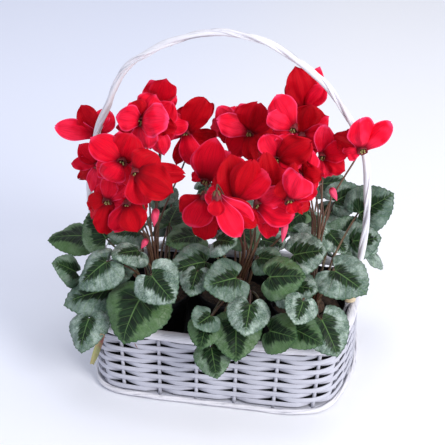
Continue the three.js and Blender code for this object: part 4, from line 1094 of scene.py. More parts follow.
@dataclass
class Basket:
    """The wicker basket: plate and stakes, weave, borders, handle, bindings and liner, in mm.

    The wall's outlines, base and top, hold half of the length, the bow of the short ends and half
    of the width. A strand holds its distance from the handle's middle line, its radius and where
    it starts to wind. A splinter holds its place as a share of the handle, its length and its way.
    """

    wall_top: float = 82.0
    base: tuple[float, float, float] = (149.0, 22.0, 138.0)
    top: tuple[float, float, float] = (157.0, 15.0, 126.0)
    corner_power: int = 8
    plate: float = 6.0
    plate_out: float = 0.6
    plate_round: float = 0.8
    liner_low: float = 6.4
    liner_top: float = 81.2
    liner_in: float = 6.7
    liner_thick: float = 0.6
    crease: float = 1.1
    film: float = 6.2
    film_in: float = 7.6
    film_thick: float = 0.3
    stake_radius: float = 2.5
    stake_low: float = 4.0
    stake_top: float = 81.1
    stakes_front: tuple[float, ...] = (-118, -68, -18, 34, 87, 137)
    stakes_round: int = 19
    rows: int = 10
    row_pitch: float = 6.6
    strip_high: float = 6.7
    strip_thick: float = 1.5
    strip_clear: float = 0.55
    strip_from: float = 12.1
    strip_low: float = 8.8
    strip_top: float = 82.2
    strip_ends: tuple[int, int] = (18, 17)
    strip_swing: float = 8.0
    strip_ridge: float = 0.32
    strip_wave: float = 0.22
    dip: float = 22.0
    steps: int = 12
    rim_height: float = 88.3
    rim_radius: float = 6.9
    foot_height: float = 4.7
    foot_out: float = 6.4
    foot_radius: float = 3.5
    handle_pitch: float = 150.0
    handle_steps: int = 260
    handle_fine: int = 1500
    strands: tuple[tuple[float, float, float], ...] = (
        (1.0, 3.9, 0.0), (2.9, 2.3, 0.46), (4.0, 1.15, 0.70))
    splinters: tuple[tuple[float, float, int], ...] = (
        (0.285, 9, 1), (0.70, 8, 1), (0.44, 6, -1), (0.865, 6, 1))
    binding_reach: float = 165.7
    binding_height: float = 101.5
    binding_radius: float = 8.2
    binding_high: float = 8.0
    cane_turns: int = 3
    cane_thick: float = 0.62
    cane_wide: float = 1.28
    handle_path: tuple[tuple[float, float], ...] = (
        (-158.3, 7), (-158.3, 77), (-159.3, 86), (-163, 95), (-168, 107), (-179, 140), (-190, 180),
        (-195, 220), (-192, 250), (-179, 320), (-163, 355), (-154, 377), (-143, 399), (-127, 417),
        (-109, 429), (-83, 444), (-55, 454), (-34, 460), (-10, 463), (14, 461), (40, 456),
        (63, 446), (83, 433), (103, 419), (121, 404), (135, 387), (150, 366), (164, 341),
        (174, 315), (179, 290), (182, 250), (183, 222), (181, 195), (178, 165), (173, 130),
        (168, 107), (163, 95), (159.3, 86), (158.3, 77), (158.3, 7),
    )

    def line(self, angle: float, share: float, out: float = 0.0) -> Vector:
        """A point of the wall's outline, in mm.

        Args:
            angle: Round the basket, in radians.
            share: Height as a share of the wall.
            out: Distance outwards in mm.

        Returns:
            The point in mm.
        """
        c, s = cos(angle), sin(angle)
        power = self.corner_power
        r = (abs(c) ** power + abs(s) ** power) ** (-1 / power)
        q = r * s
        reach = lerp(self.base[0], self.top[0], share) + out
        bow = lerp(self.base[1], self.top[1], share) * cos(pi * q / 2)
        deep = lerp(self.base[2], self.top[2], share) + out
        return Vector(((reach + bow) * r * c, deep * q, share * self.wall_top))

    def outward(self, angle: float, share: float) -> Vector:
        """The level way square to the outline, outwards."""
        along = self.line(angle + 0.004, share) - self.line(angle - 0.004, share)
        return Vector((along.y, -along.x, 0.0)).normalized()

    def divide(self, start: float, end: float, count: int, share: float) -> list[float]:
        """Angles that divide the outline into equal lengths.

        Args:
            start: The first angle.
            end: Where the last length ends.
            count: How many lengths.
            share: Height as a share of the wall.

        Returns:
            The angle at which each length starts.
        """
        fine = 1440
        angles = [start + (end - start) * i / fine for i in range(fine + 1)]
        run = [0.0]
        for a, b in zip(angles, angles[1:]):
            run.append(run[-1] + (self.line(b, share) - self.line(a, share)).length)
        found = []
        for k in range(count):
            want = run[-1] * k / count
            found.append(angles[next(i for i, r in enumerate(run) if r >= want)])
        return found

    def stakes(self) -> list[float]:
        """The stakes' angles, counter-clockwise from the front left."""
        reach = (self.base[0] + self.top[0]) / 2
        power = self.corner_power
        front = []
        for x in self.stakes_front:
            q = (1 - abs(x / reach) ** power) ** (1 / power)
            front.append(math.atan2(-q, x / reach))
        around = self.divide(front[-1], front[0] + TURN, self.stakes_round + 1, 0.5)
        return front + around[1:]

    def swing(self, angles: Sequence[float], i: int) -> float:
        """How far the strip stands off a stake, more where it turns a corner, in mm."""
        here = self.line(angles[i], 0.5)
        normal = self.outward(angles[i], 0.5)
        steep = []
        for other in (angles[i - 1], angles[(i + 1) % len(angles)]):
            way = self.line(other, 0.5) - here
            way.z = 0
            steep.append(math.asin(abs(way.dot(normal)) / way.length)
                         + math.atan(self.strip_swing / way.length))
        return (self.stake_radius + self.strip_thick / 2 + self.strip_clear) / cos(max(steep))

    def build(self, finishes: Finishes) -> None:
        """Makes every piece of the basket."""
        angles = self.stakes()
        self._frame(angles, finishes)
        self._weave(angles, finishes)
        rim = Border("rim_splints", "basket_rim", height=self.rim_height, share=1.0, out=0.0,
                     radius=self.rim_radius, splints=6, wide=3.5, flat=1.35, turns=6, core=5.2)
        foot = Border("foot_splints", "basket_foot", height=self.foot_height, share=0.0,
                      out=self.foot_out, radius=self.foot_radius, splints=3, wide=2.1, flat=1.7,
                      turns=7, core=1.2)
        for border in (rim, foot):
            border.build(self, finishes)
        self._handle(finishes)
        self._bindings(finishes)
        self._liner(finishes)

    def _frame(self, angles: Sequence[float], finishes: Finishes) -> None:
        """The plate, rounded along its edges, with the stakes standing in it."""
        maker = Maker("plate_and_stakes")
        bm = maker.mesh
        turns = self.divide(0, TURN, 96, 0)
        face = bm.faces.new([bm.verts.new(self.line(a, 0, self.plate_out) * MM) for a in turns])
        lifted = bmesh.ops.extrude_face_region(bm, geom=[face])["geom"]
        tops = [v for v in lifted if isinstance(v, bmesh.types.BMVert)]
        bmesh.ops.translate(bm, verts=tops, vec=(0, 0, self.plate * MM))
        sharp = [e for e in bm.edges if len(e.link_faces) == 2 and e.calc_face_angle(0) > SHARP]
        bmesh.ops.bevel(bm, geom=sharp, offset=self.plate_round * MM, segments=2, profile=0.5,
                        affect="EDGES", material=-1)
        for i, angle in enumerate(angles):
            low = self.line(angle, self.stake_low / self.wall_top) * MM
            high = self.line(angle, self.stake_top / self.wall_top) * MM
            line = [low.lerp(high, k / 6) for k in range(7)]
            maker.tube(line, lambda s: self.stake_radius * MM * (1 - 0.06 * s), 10, 0, (i * 0.37) % 1)
        maker.place([finishes.stake], ["basket_frame"], "wicker")

    def _course(self, angles: Sequence[float]) -> list[tuple[Vector, float]]:
        """The middle line of the woven strip, outside the wall but for a dip behind a stake.

        Args:
            angles: Where the stakes stand.

        Returns:
            Points in mm, each with half of the strip's height there, which shrinks to nothing at
            both ends so that the wall is level.
        """
        count = len(angles)
        swings = [self.swing(angles, i) for i in range(count)]
        turns = [*angles, angles[0] + TURN]
        gaps = [(self.line(b, 0.5) - self.line(a, 0.5)).length for a, b in zip(turns, turns[1:])]
        line: list[tuple[Vector, float]] = []
        first, last = -self.strip_ends[0], self.rows * count + self.strip_ends[1]
        for k in range(first, last + 1):
            i = k % count
            inward = k % 2 == 0
            for j in range(self.steps if k < last else 1):
                share = j / self.steps
                w = 1 - (1 - share) ** 1.4 if inward else share ** 1.4
                near = (1 - w if inward else w) * gaps[i]
                off = lerp(swings[i], swings[(i + 1) % count], w)
                middle = self.strip_from + self.row_pitch * (k + w) / count
                low = max(middle - self.strip_high / 2, self.strip_low)
                top = min(middle + self.strip_high / 2, self.strip_top)
                z = (low + top) / 2
                angle = lerp(turns[i], turns[i + 1], w)
                normal = self.outward(angle, z / self.wall_top)
                centre = self.line(angle, z / self.wall_top)
                far = min(near / self.dip, 1.0)
                centre += normal * off * (1 - 2 * (1 - far) ** 1.15)
                centre.z = z
                line.append((centre, max((top - low) / 2, 0.2)))
        return line

    def _weave(self, angles: Sequence[float], finishes: Finishes) -> None:
        """One strip wound round the stakes, with the marks of the three splints in it."""
        course = self._course(angles)
        line = [centre for centre, _ in course]
        last = len(line) - 1
        normals = []
        for i in range(last + 1):
            along = line[min(i + 1, last)] - line[max(i - 1, 0)]
            normals.append(Vector((along.y, -along.x, 0)).normalized())
        waves = random.Random(21)
        lean = [waves.uniform(-1, 1) for _ in range(last // self.steps + 4)]
        maker = Maker("woven_strip")

        def skin(s: float, t: float) -> Vector:
            """The strip's skin: three shallow ridges on a flat band."""
            i = round(s * last)
            k, w = divmod(i / self.steps, 1)
            k = int(k)
            turn = t * TURN
            c, d = cos(turn), sin(turn)
            high = course[i][1] * (1 + 0.03 * lerp(lean[k], lean[k + 1], w))
            up = math.copysign(abs(d) ** 0.75, d) * high
            groove = 0.5 + 0.5 * cos(3 * pi * up / high)
            thick = (self.strip_thick / 2 + self.strip_ridge) * abs(c) ** 0.35
            thick *= 1 - 0.22 * (1 - groove)
            close = 0.0 if i in (0, last) else 1.0
            wave = self.strip_wave * lerp(lean[k + 1], lean[k + 2], w)
            return (line[i] + normals[i] * math.copysign(thick, c) * close
                    + UP * (up * close + wave)) * MM

        maker.drape(last, 16, skin, uv=lambda s, t: (s * last / self.steps * 0.5, t))
        maker.place([finishes.splint], ["basket_weave"], "wicker")

    def _handle(self, finishes: Finishes) -> None:
        """The high arch: a thick rod with two thinner ones wound round it, and lifted splinters."""
        maker = Maker("twisted_handle")
        path = Spline([Vector((x, 0, z)) for x, z in self.handle_path])
        steps = self.handle_steps
        rough = path.cut(self.handle_fine)
        run = [0.0]
        for a, b in zip(rough, rough[1:]):
            run.append(run[-1] + (b - a).length)
        points: list[Vector] = []
        k = 0
        for i in range(steps + 1):
            want = run[-1] * i / steps
            while k < self.handle_fine - 1 and run[k + 1] < want:
                k += 1
            share = (want - run[k]) / max(run[k + 1] - run[k], 1e-9)
            points.append(rough[k].lerp(rough[k + 1], share))
        side = Vector((0, 1, 0))
        for j, (core, radius, start) in enumerate(self.strands):
            strand: list[Vector] = []
            for i, p in enumerate(points):
                along = (points[min(i + 1, steps)] - points[max(i - 1, 0)]).normalized()
                other = along.cross(side)
                twist = (run[-1] * i / steps / self.handle_pitch + start) * TURN
                strand.append((p + spoke(side, other, twist) * core) * MM)
            maker.tube(strand, lambda s, radius=radius: radius * MM, 12, 0, j * 0.35)
        for share, reach, way in self.splinters:
            i = int(share * steps)
            along = (points[i + 1] - points[i]).normalized() * way
            start = points[i] + along.cross(side) * -4.6 * way
            tip = start + along * reach + along.cross(side) * -1.6 * way
            line = [(start.lerp(tip, k / 4)) * MM for k in range(5)]
            maker.tube(line, lambda s: (0.7 - 0.55 * s) * MM, 6, 0, 0.9)
        maker.place([finishes.handle], ["basket_handle"], "wicker")

    def _bindings(self, finishes: Finishes) -> None:
        """Three turns of cane round each foot of the handle."""
        for side, node in ((-1, "handle_binding_left"), (1, "handle_binding_right")):
            maker = Maker("cane_turns_" + ("left" if side < 0 else "right"))
            for row in range(self.cane_turns):
                z = self.binding_height - self.binding_high / 2
                z += self.binding_high * (row + 0.5) / self.cane_turns
                ring = Vector((side * self.binding_reach, 0, z))

                def skin(s: float, t: float, ring: Vector = ring) -> Vector:
                    """One turn of flat cane."""
                    turn = t * TURN
                    arm = level(s * TURN) * (self.binding_radius + self.cane_thick * cos(turn))
                    return (ring + arm + UP * self.cane_wide * sin(turn)) * MM

                maker.drape(40, 10, skin, uv=lambda s, t: (s * 0.5, t), tone=row * 0.4)
            maker.place([finishes.cane], [node], "cane")

    def _liner(self, finishes: Finishes) -> None:
        """The creased black film that lines the wall and lies on the plate."""
        maker = Maker("liner_film")

        def skin(s: float, t: float) -> Vector:
            """The film's two faces, creased alike."""
            angle = s * TURN
            turn = t * 4
            inner = 1.0 if turn < 1 or turn >= 3 else 0.0
            rise = {0: turn, 1: 1.0, 2: 3 - turn, 3: 0.0}[min(int(turn), 3)]
            z = lerp(self.liner_low, self.liner_top, rise)
            crease = noise.noise(Vector((angle * 9, z * 0.04, 1.7))) * self.crease - 0.4
            out = -self.liner_in - self.liner_thick * inner + crease
            return self.line(angle, z / self.wall_top, out) * MM

        maker.drape(220, 24, skin, uv=lambda s, t: (s * 12, t))
        share = self.film / self.wall_top

        def floor(s: float, t: float) -> Vector:
            """The film on the plate, from the front half of the wall to the back half."""
            turns = (pi * (1 + s), pi * (1 - s))
            front, back = (self.line(turn, share, -self.film_in) for turn in turns)
            p = front.lerp(back, t)
            return Vector((p.x, p.y, self.film)) * MM

        maker.sheet(60, 6, floor, UP, thick=self.film_thick * MM)
        maker.place([finishes.liner], ["liner"], "liner_film")


@dataclass(frozen=True)
class Border:
    """A border of flat splints that wind round a core, all the way round the basket, in mm.

    Attributes:
        name: The piece.
        node: The solid that it stands for.
        height: The height of its middle line.
        share: The wall's outline that it follows, as a share of the wall's height.
        out: How far its middle line lies outside that outline.
        radius: Its outer radius.
        splints: How many splints wind round it.
        wide: Half of a splint's width.
        flat: Half of a splint's thickness.
        turns: How often each splint winds round it.
        core: The radius of the core.
        waver: How far a splint rises and falls on its way.
        steps: Steps all the way round.
    """

    name: str
    node: str
    height: float
    share: float
    out: float
    radius: float
    splints: int
    wide: float
    flat: float
    turns: int
    core: float
    waver: float = 0.3
    steps: int = 240

    def build(self, basket: Basket, finishes: Finishes) -> None:
        """Makes the border, each splint a closed ring."""
        maker = Maker(self.name)
        spots: list[tuple[Vector, Vector]] = []
        for angle in basket.divide(0, TURN, self.steps, self.share):
            normal = basket.outward(angle, self.share)
            centre = basket.line(angle, self.share) + normal * self.out
            centre.z = self.height + 0.35 * sin(centre.x / 19) + 0.3 * sin(centre.y / 23 + 1)
            spots.append((centre, normal))
        for k in range(self.splints):
            def skin(s: float, t: float, k: int = k) -> Vector:
                """One splint's skin."""
                centre, normal = spots[round(s * self.steps) % self.steps]
                twist = (s * self.turns + k / self.splints) * TURN
                arm = normal * cos(twist) + UP * sin(twist) * 1.06
                side = UP * cos(twist) - normal * sin(twist)
                turn = t * TURN
                lift = self.radius - self.flat + self.waver * sin(s * TURN * (5 + 2 * k) + k)
                return (centre + arm * (lift + self.flat * cos(turn) - self.waver)
                        + side * self.wide * sin(turn)) * MM

            maker.drape(self.steps, 12, skin, uv=lambda s, t: (s * 30, t), tone=(k * 0.3) % 1)

        def heart(s: float, t: float) -> Vector:
            """The core's skin."""
            centre, normal = spots[round(s * self.steps) % self.steps]
            return (centre + spoke(normal, UP, t * TURN) * self.core) * MM

        maker.drape(self.steps, 8, heart, uv=lambda s, t: (s * 30, t))
        maker.place([finishes.handle], [self.node], "wicker")


# ---- pots and soil


@dataclass
class Pots:
    """The three nursery pots with their soil, in mm."""

    lip: float = 50.0
    lip_low: float = 102.0
    top: float = 112.0
    waist: float = 60.0
    foot: float = 36.0
    shoulder: float = 47.5
    low: float = 6.5
    wall: float = 1.4
    soil_low: float = 8.6
    soil_top: float = 103.5
    gap: float = 0.5
    hole: float = 22.8
    hole_low: float = 95.2
    lump: float = 2.4
    lump_top: float = 0.6

    def radius(self, z: float) -> float:
        """The pot's outer radius at a height."""
        return lerp(self.foot, self.shoulder, (z - self.low) / (self.lip_low - self.low))

    def build(self, finishes: Finishes) -> None:
        """Makes each pot and the soil in it."""
        for plant, stand in STANDS.items():
            centre = mm(*stand.pot, 0)
            self._pot(plant, centre, finishes)
            self._soil(plant, stand, centre, finishes)

    def _pot(self, plant: Plant, centre: Vector, finishes: Finishes) -> None:
        """A pot with a rolled lip and a stepped foot."""
        maker = Maker(f"pot_{plant.value}.shell")
        low, top, lip, wall = self.low, self.top, self.lip, self.wall
        profile = [
            (0, low), (self.foot - 3, low), (self.foot - 0.8, low + 0.5), (self.foot, low + 1.8),
            (self.radius(self.waist), self.waist),
            (self.radius(self.lip_low) - 0.2, self.lip_low - 0.6),
            (lip - 0.6, self.lip_low), (lip, self.lip_low + 0.7), (lip, top - 0.7),
            (lip - 0.5, top), (lip - wall + 0.3, top), (lip - wall, top - 0.7),
            (lip - wall - 0.6, self.lip_low + 1.5), (self.radius(self.waist) - wall, self.waist),
            (self.foot - wall, low + wall + 0.8), (self.foot - wall - 2, low + wall), (0, low + wall),
        ]
        maker.turned(profile, centre, 64)
        maker.place([finishes.pot], [f"pot_{plant.value}"], "pot_plastic")

    def _soil(self, plant: Plant, stand: Stand, centre: Vector, finishes: Finishes) -> None:
        """Lumpy soil with a hollow where the corm sits."""
        maker = Maker(f"soil_{plant.value}.peat")
        off = Vector((stand.crown[0] - stand.pot[0], stand.crown[1] - stand.pot[1], 0))
        rim = self.radius(self.soil_top - 3) - self.wall - self.gap
        foot = self.radius(self.soil_low) - self.wall - self.gap
        rings = [(0.0, self.hole_low, 1.0), (self.hole - 4, self.hole_low, 1.0),
                 (self.hole, self.hole_low + 2, 1.0), (self.hole + 0.2, self.soil_top - 1.5, 1.0)]
        for k in range(1, 9):
            rings.append((lerp(self.hole + 0.4, rim - 1.5, k / 8), self.soil_top - 0.4, 1 - k / 8))
        rings += [(rim, self.soil_top - 4, 0.0), (foot, self.soil_low, 0.0), (0.0, self.soil_low, 0.0)]
        last = len(rings) - 1

        def skin(s: float, t: float) -> Vector:
            """The soil's skin, lumpy on top."""
            r, z, share = rings[round(s * last)]
            spot = off * share + level(t * TURN) * r
            far = min(spot.length, rim) / max(spot.length, 1e-6)
            spot = spot * far if r > 0 else spot
            lump = 0.0
            if z > self.soil_top - 3:
                lump = noise.noise(Vector((spot.x * 0.16, spot.y * 0.16, 3.1))) * self.lump - 0.8
            spot.z = z + min(lump, self.lump_top)
            return centre + spot * MM

        maker.drape(last, 72, skin)
        maker.place([finishes.soil], [f"soil_{plant.value}"], "soil")


# ---- foliage


@dataclass(frozen=True)
class Blade:
    """One leaf: its plant, joint and tip in metres, its shape, and the seed of its draws."""

    plant: Plant
    joint: Vector
    tip: Vector
    wide: float
    facing: float
    arch: float
    cup: float
    seed: int


@dataclass
class Foliage:
    """The three crowns of leaves, in mm."""

    edge: tuple[tuple[float, float], ...] = (
        (-0.06, 0.045), (-0.31, 0.27), (-0.11, 0.56), (0.34, 0.6), (0.72, 0.35), (1.0, 0.0))
    crown_inner: float = 9.6
    crown_outer: float = 15.5
    crown_low: float = 112.1
    crown_high: float = 117.4
    petiole: float = 1.6
    teeth: int = 16
    tooth: float = 0.040
    scallop: float = 0.018
    wave: float = 0.035
    quilt: float = 0.010
    frill: float = 0.020
    dome: float = 0.150
    fine: int = 64

    def __post_init__(self) -> None:
        """Smooths half of the blade's edge and cuts its teeth."""
        path = Spline([Vector((u, v, 0)) for u, v in self.edge])
        self.half: list[Vector] = []
        for i in range(self.fine + 1):
            s = i / self.fine
            p = path.at(s)
            tooth = 1 - (self.teeth * s) % 1
            scallop = sin(pi * 5 * s + 0.6)
            cut = self.tooth * tooth + self.scallop * scallop - self.tooth / 2
            self.half.append(p * (1.0 + ease(0.1, 0.3, s) * (1 - ease(0.93, 1.0, s)) * cut))

    def rim(self, t: float) -> Vector:
        """The blade's edge for t from 0 to 1, from one side of the notch to the other."""
        far = abs(t * 2 - 1)
        at = (1 - far) * self.fine
        i = min(int(at), self.fine - 1)
        p = self.half[i].lerp(self.half[i + 1], at - i)
        return Vector((p.x, math.copysign(p.y, t - 0.5) if t != 0.5 else 0.0, 0))

    def blades(self) -> list[Blade]:
        """Every leaf of the arrangement."""
        found = [Blade(Plant(plant), SIGHT.place(joint), SIGHT.place(tip), *form, 100 + i)
                 for i, (plant, joint, tip, *form) in enumerate(LEAVES)]
        for tier in TIERS:
            for i in range(tier.count):
                draw = lcg(500 + i * 7 + tier.seed)
                x = tier.start + tier.step * i
                z = tier.height + (i % 2) * 9 - abs(x) * 0.12
                joint = Vector((x, tier.depth + next(draw) * 8, z))
                tip = joint + Vector((x * 0.08 + (next(draw) - 0.5) * 24, tier.reach, -tier.drop))
                plant = Plant.LEFT if x < -40 else Plant.MIDDLE if x < 70 else Plant.RIGHT
                found.append(Blade(plant, joint * MM, tip * MM, wide=1.05, facing=0, arch=0.05,
                                   cup=0.1, seed=600 + i))
        return found

    def build(self, finishes: Finishes) -> None:
        """Makes the three plants' foliage."""
        blades = self.blades()
        for plant, stand in STANDS.items():
            crown = mm(*stand.crown, 0)
            mine = sorted((b for b in blades if b.plant is plant),
                          key=lambda b: self._heading(b, crown))
            count = len(mine)
            shift = sum(self._heading(b, crown) - i / count * TURN for i, b in enumerate(mine)) / count
            maker = Maker(f"leaves_{plant.value}")
            self._crown(maker, crown)
            for i, blade in enumerate(mine):
                self._leaf(maker, blade, crown, i / count * TURN + shift)
            self._remnants(maker, plant)
            maker.place([finishes.leaf, finishes.petiole, finishes.dry, finishes.faded],
                        [f"foliage_{plant.value}"], "leaf", outward=False)

    @staticmethod
    def _remnants(maker: Maker, plant: Plant) -> None:
        """The plant's few withered leaves, small and curled, that hang over the rim."""
        for i, (_, start, end, width, finish) in enumerate(r for r in REMNANTS if r[0] == plant.value):
            a, b = SIGHT.place(start), SIGHT.place(end)
            n, side = facing((b - a).normalized())

            def skin(s: float, t: float, a: Vector = a, b: Vector = b, side: Vector = side,
                     n: Vector = n, width: float = width, i: int = i) -> Vector:
                """A curled, crumpled scrap."""
                w = t * 2 - 1
                half = width / 2 * (0.45 + 0.55 * sin(pi * (0.15 + 0.8 * s)))
                curl = sin(4 * s + i) * w * 0.35 + 0.5 * w * w
                return a.lerp(b, s) + (side * w * half + n * half * curl) * MM

            maker.sheet(10, 8, skin, n, finish, tone=0.3 + 0.2 * i)

    @staticmethod
    def _heading(blade: Blade, crown: Vector) -> float:
        """The level direction of a leaf from its crown."""
        return math.atan2(blade.joint.y - crown.y, blade.joint.x - crown.x)

    def _crown(self, maker: Maker, crown: Vector) -> None:
        """The scaly ring that the leaf stalks spring from."""
        def rough(p: Vector) -> Vector:
            """Breaks the ring up a little."""
            return p + p.normalized() * noise.noise(p * 300) * 0.0006

        low, high = self.crown_low, self.crown_high
        profile = [(self.crown_inner, low), (self.crown_outer, low), (self.crown_outer, low + 1.6),
                   (self.crown_outer - 2.6, high), (self.crown_inner + 1.4, high - 1.6),
                   (self.crown_inner, low)]
        maker.turned(profile, crown, 40, LeafPart.STALK, rough)

    def _leaf(self, maker: Maker, blade: Blade, crown: Vector, angle: float) -> None:
        """One leaf with its stalk.

        Args:
            maker: The mesh that it joins.
            blade: The leaf.
            crown: The middle of its crown, in metres.
            angle: Where on the crown its stalk starts.
        """
        draw = lcg(blade.seed)
        phase = next(draw) * 6
        size = (blade.tip - blade.joint).length
        x = (blade.tip - blade.joint).normalized()
        dome = Vector((blade.joint.x * 0.7, blade.joint.y + 0.005,
                       self.dome + 0.4 * (blade.joint.z - self.dome))).normalized()
        want = dome.lerp(-SIGHT.ahead, blade.facing).normalized()
        n = (want - x * want.dot(x)).normalized()
        y = n.cross(x)
        tone = random.Random(blade.seed).random()
        dice = random.Random(blade.seed + 1)
        wobble = 0.6 + 0.9 * dice.random()
        fold = dice.uniform(-0.10, 0.20)
        droop = dice.uniform(0.02, 0.14)

        def skin(s: float, t: float) -> Vector:
            """The blade: cupped, arched, quilted between its veins, waved along its edge."""
            p = self.rim(t) * s
            u, v = p.x, p.y
            rise = blade.arch * 4 * max(u, 0) * (1 - u) - blade.cup * v * v * 2.2
            wave = self.wave * sin(7 * u + phase + math.copysign(1.3, v)) * abs(v) * 1.6
            turn = math.atan2(abs(v), u)
            quilt = self.quilt * cos(TURN * turn / 0.60) * ease(0.1, 0.6, s)
            frill = self.frill * wobble * sin(turn * 5.0 + phase) * ease(0.5, 1.0, s)
            rise += wave - quilt + frill + fold * abs(v) - droop * ease(0.55, 1.05, s) ** 2
            return blade.joint + (x * u + y * (v * blade.wide) + n * rise) * size

        maker.sheet(10, 2 * self.fine, skin, n, LeafPart.BLADE, tone,
                    uv=lambda s, t: tuple((self.rim(t) * s).xy))
        line = self._petiole(blade, crown, angle, x, n).cut(14)
        maker.tube(line, lambda s: self.petiole * MM * (1.0 - 0.3 * s), 8, LeafPart.STALK, tone)

    def _petiole(self, blade: Blade, crown: Vector, angle: float, x: Vector, n: Vector) -> Spline:
        """The way of a leaf's stalk, from the crown ring to the blade's joint.

        Args:
            blade: The leaf.
            crown: The middle of its crown, in metres.
            angle: Where on the crown the stalk starts.
            x: The way of the midrib.
            n: The way square to the blade, upwards.

        Returns:
            The stalk's curve, in metres.
        """
        flat = Vector((blade.joint.x - crown.x, blade.joint.y - crown.y, 0))
        way = flat.normalized()
        ring = (self.crown_inner + self.crown_outer) / 2 * MM
        out = level(angle)
        start = crown + UP * (self.crown_low + 1.6) * MM + out * (ring - 0.4 * MM)
        lift = max(blade.joint.z - 0.014, 0.136)
        bend = crown + UP * lerp(self.crown_high * MM, lift, 0.7) + way * flat.length * 0.3 + out * ring
        under = blade.joint - x * 7 * MM - n * 10 * MM
        return Spline([start, bend, under, blade.joint - n * 0.5 * MM])


def lcg(seed: int) -> Iterator[float]:
    """A repeatable stream of numbers from 0 to 1, the same as the solids use."""
    state = seed
    while True:
        state = (state * 1664525 + 1013904223) % 4294967296
        yield state / 4294967296


# ---- flowers


class BloomPart(IntEnum):
    """The finishes of a bloom, in the order of its materials."""

    PETAL = 0
    MOUTH = 1
    ANTHER = 2
    SEPAL = 3


class StalkPart(IntEnum):
    """The finishes of a plant's corm, stalks and buds, in the order of their materials."""

    STALK = 0
    CORM = 1
    BUD = 2


@dataclass(frozen=True)
class PetalForm:
    """What is drawn for each petal, so that no two are alike.

    Attributes:
        tone: Varies its colour.
        phase: Where its waves start.
        curl: How far it turns about its length, in radians.
        notch: How deep its tip is cut in.
        fold: The height of its long folds, in metres.
        skew: How far its tip leans to a side.
        cup: How far its sides curl back.
        ends: How full each side of its tip is.
        creases: Place and depth of each crease.
        ruff: The height of its ruffled edge, in metres.
    """

    tone: float
    phase: float
    curl: float
    notch: float
    fold: float
    skew: float
    cup: float
    ends: tuple[float, float]
    creases: tuple[tuple[float, float], ...]
    ruff: float

    @classmethod
    def draw(cls, dice: random.Random) -> PetalForm:
        """Draws a form from the bloom's own draw, in the order of the fields."""
        even = dice.uniform
        return cls(
            tone=dice.random(), phase=even(0, TURN), curl=even(-0.5, 0.5), notch=even(-0.05, 0.06),
            fold=even(0.0006, 0.0016), skew=even(-0.2, 0.2), cup=even(-0.30, 0.60),
            ends=(even(0.48, 1.05), even(0.48, 1.05)),
            creases=((even(-0.75, -0.15), even(-1.0, 1.0)), (even(0.15, 0.75), even(-1.0, 1.0))),
            ruff=even(0.0012, 0.0036))


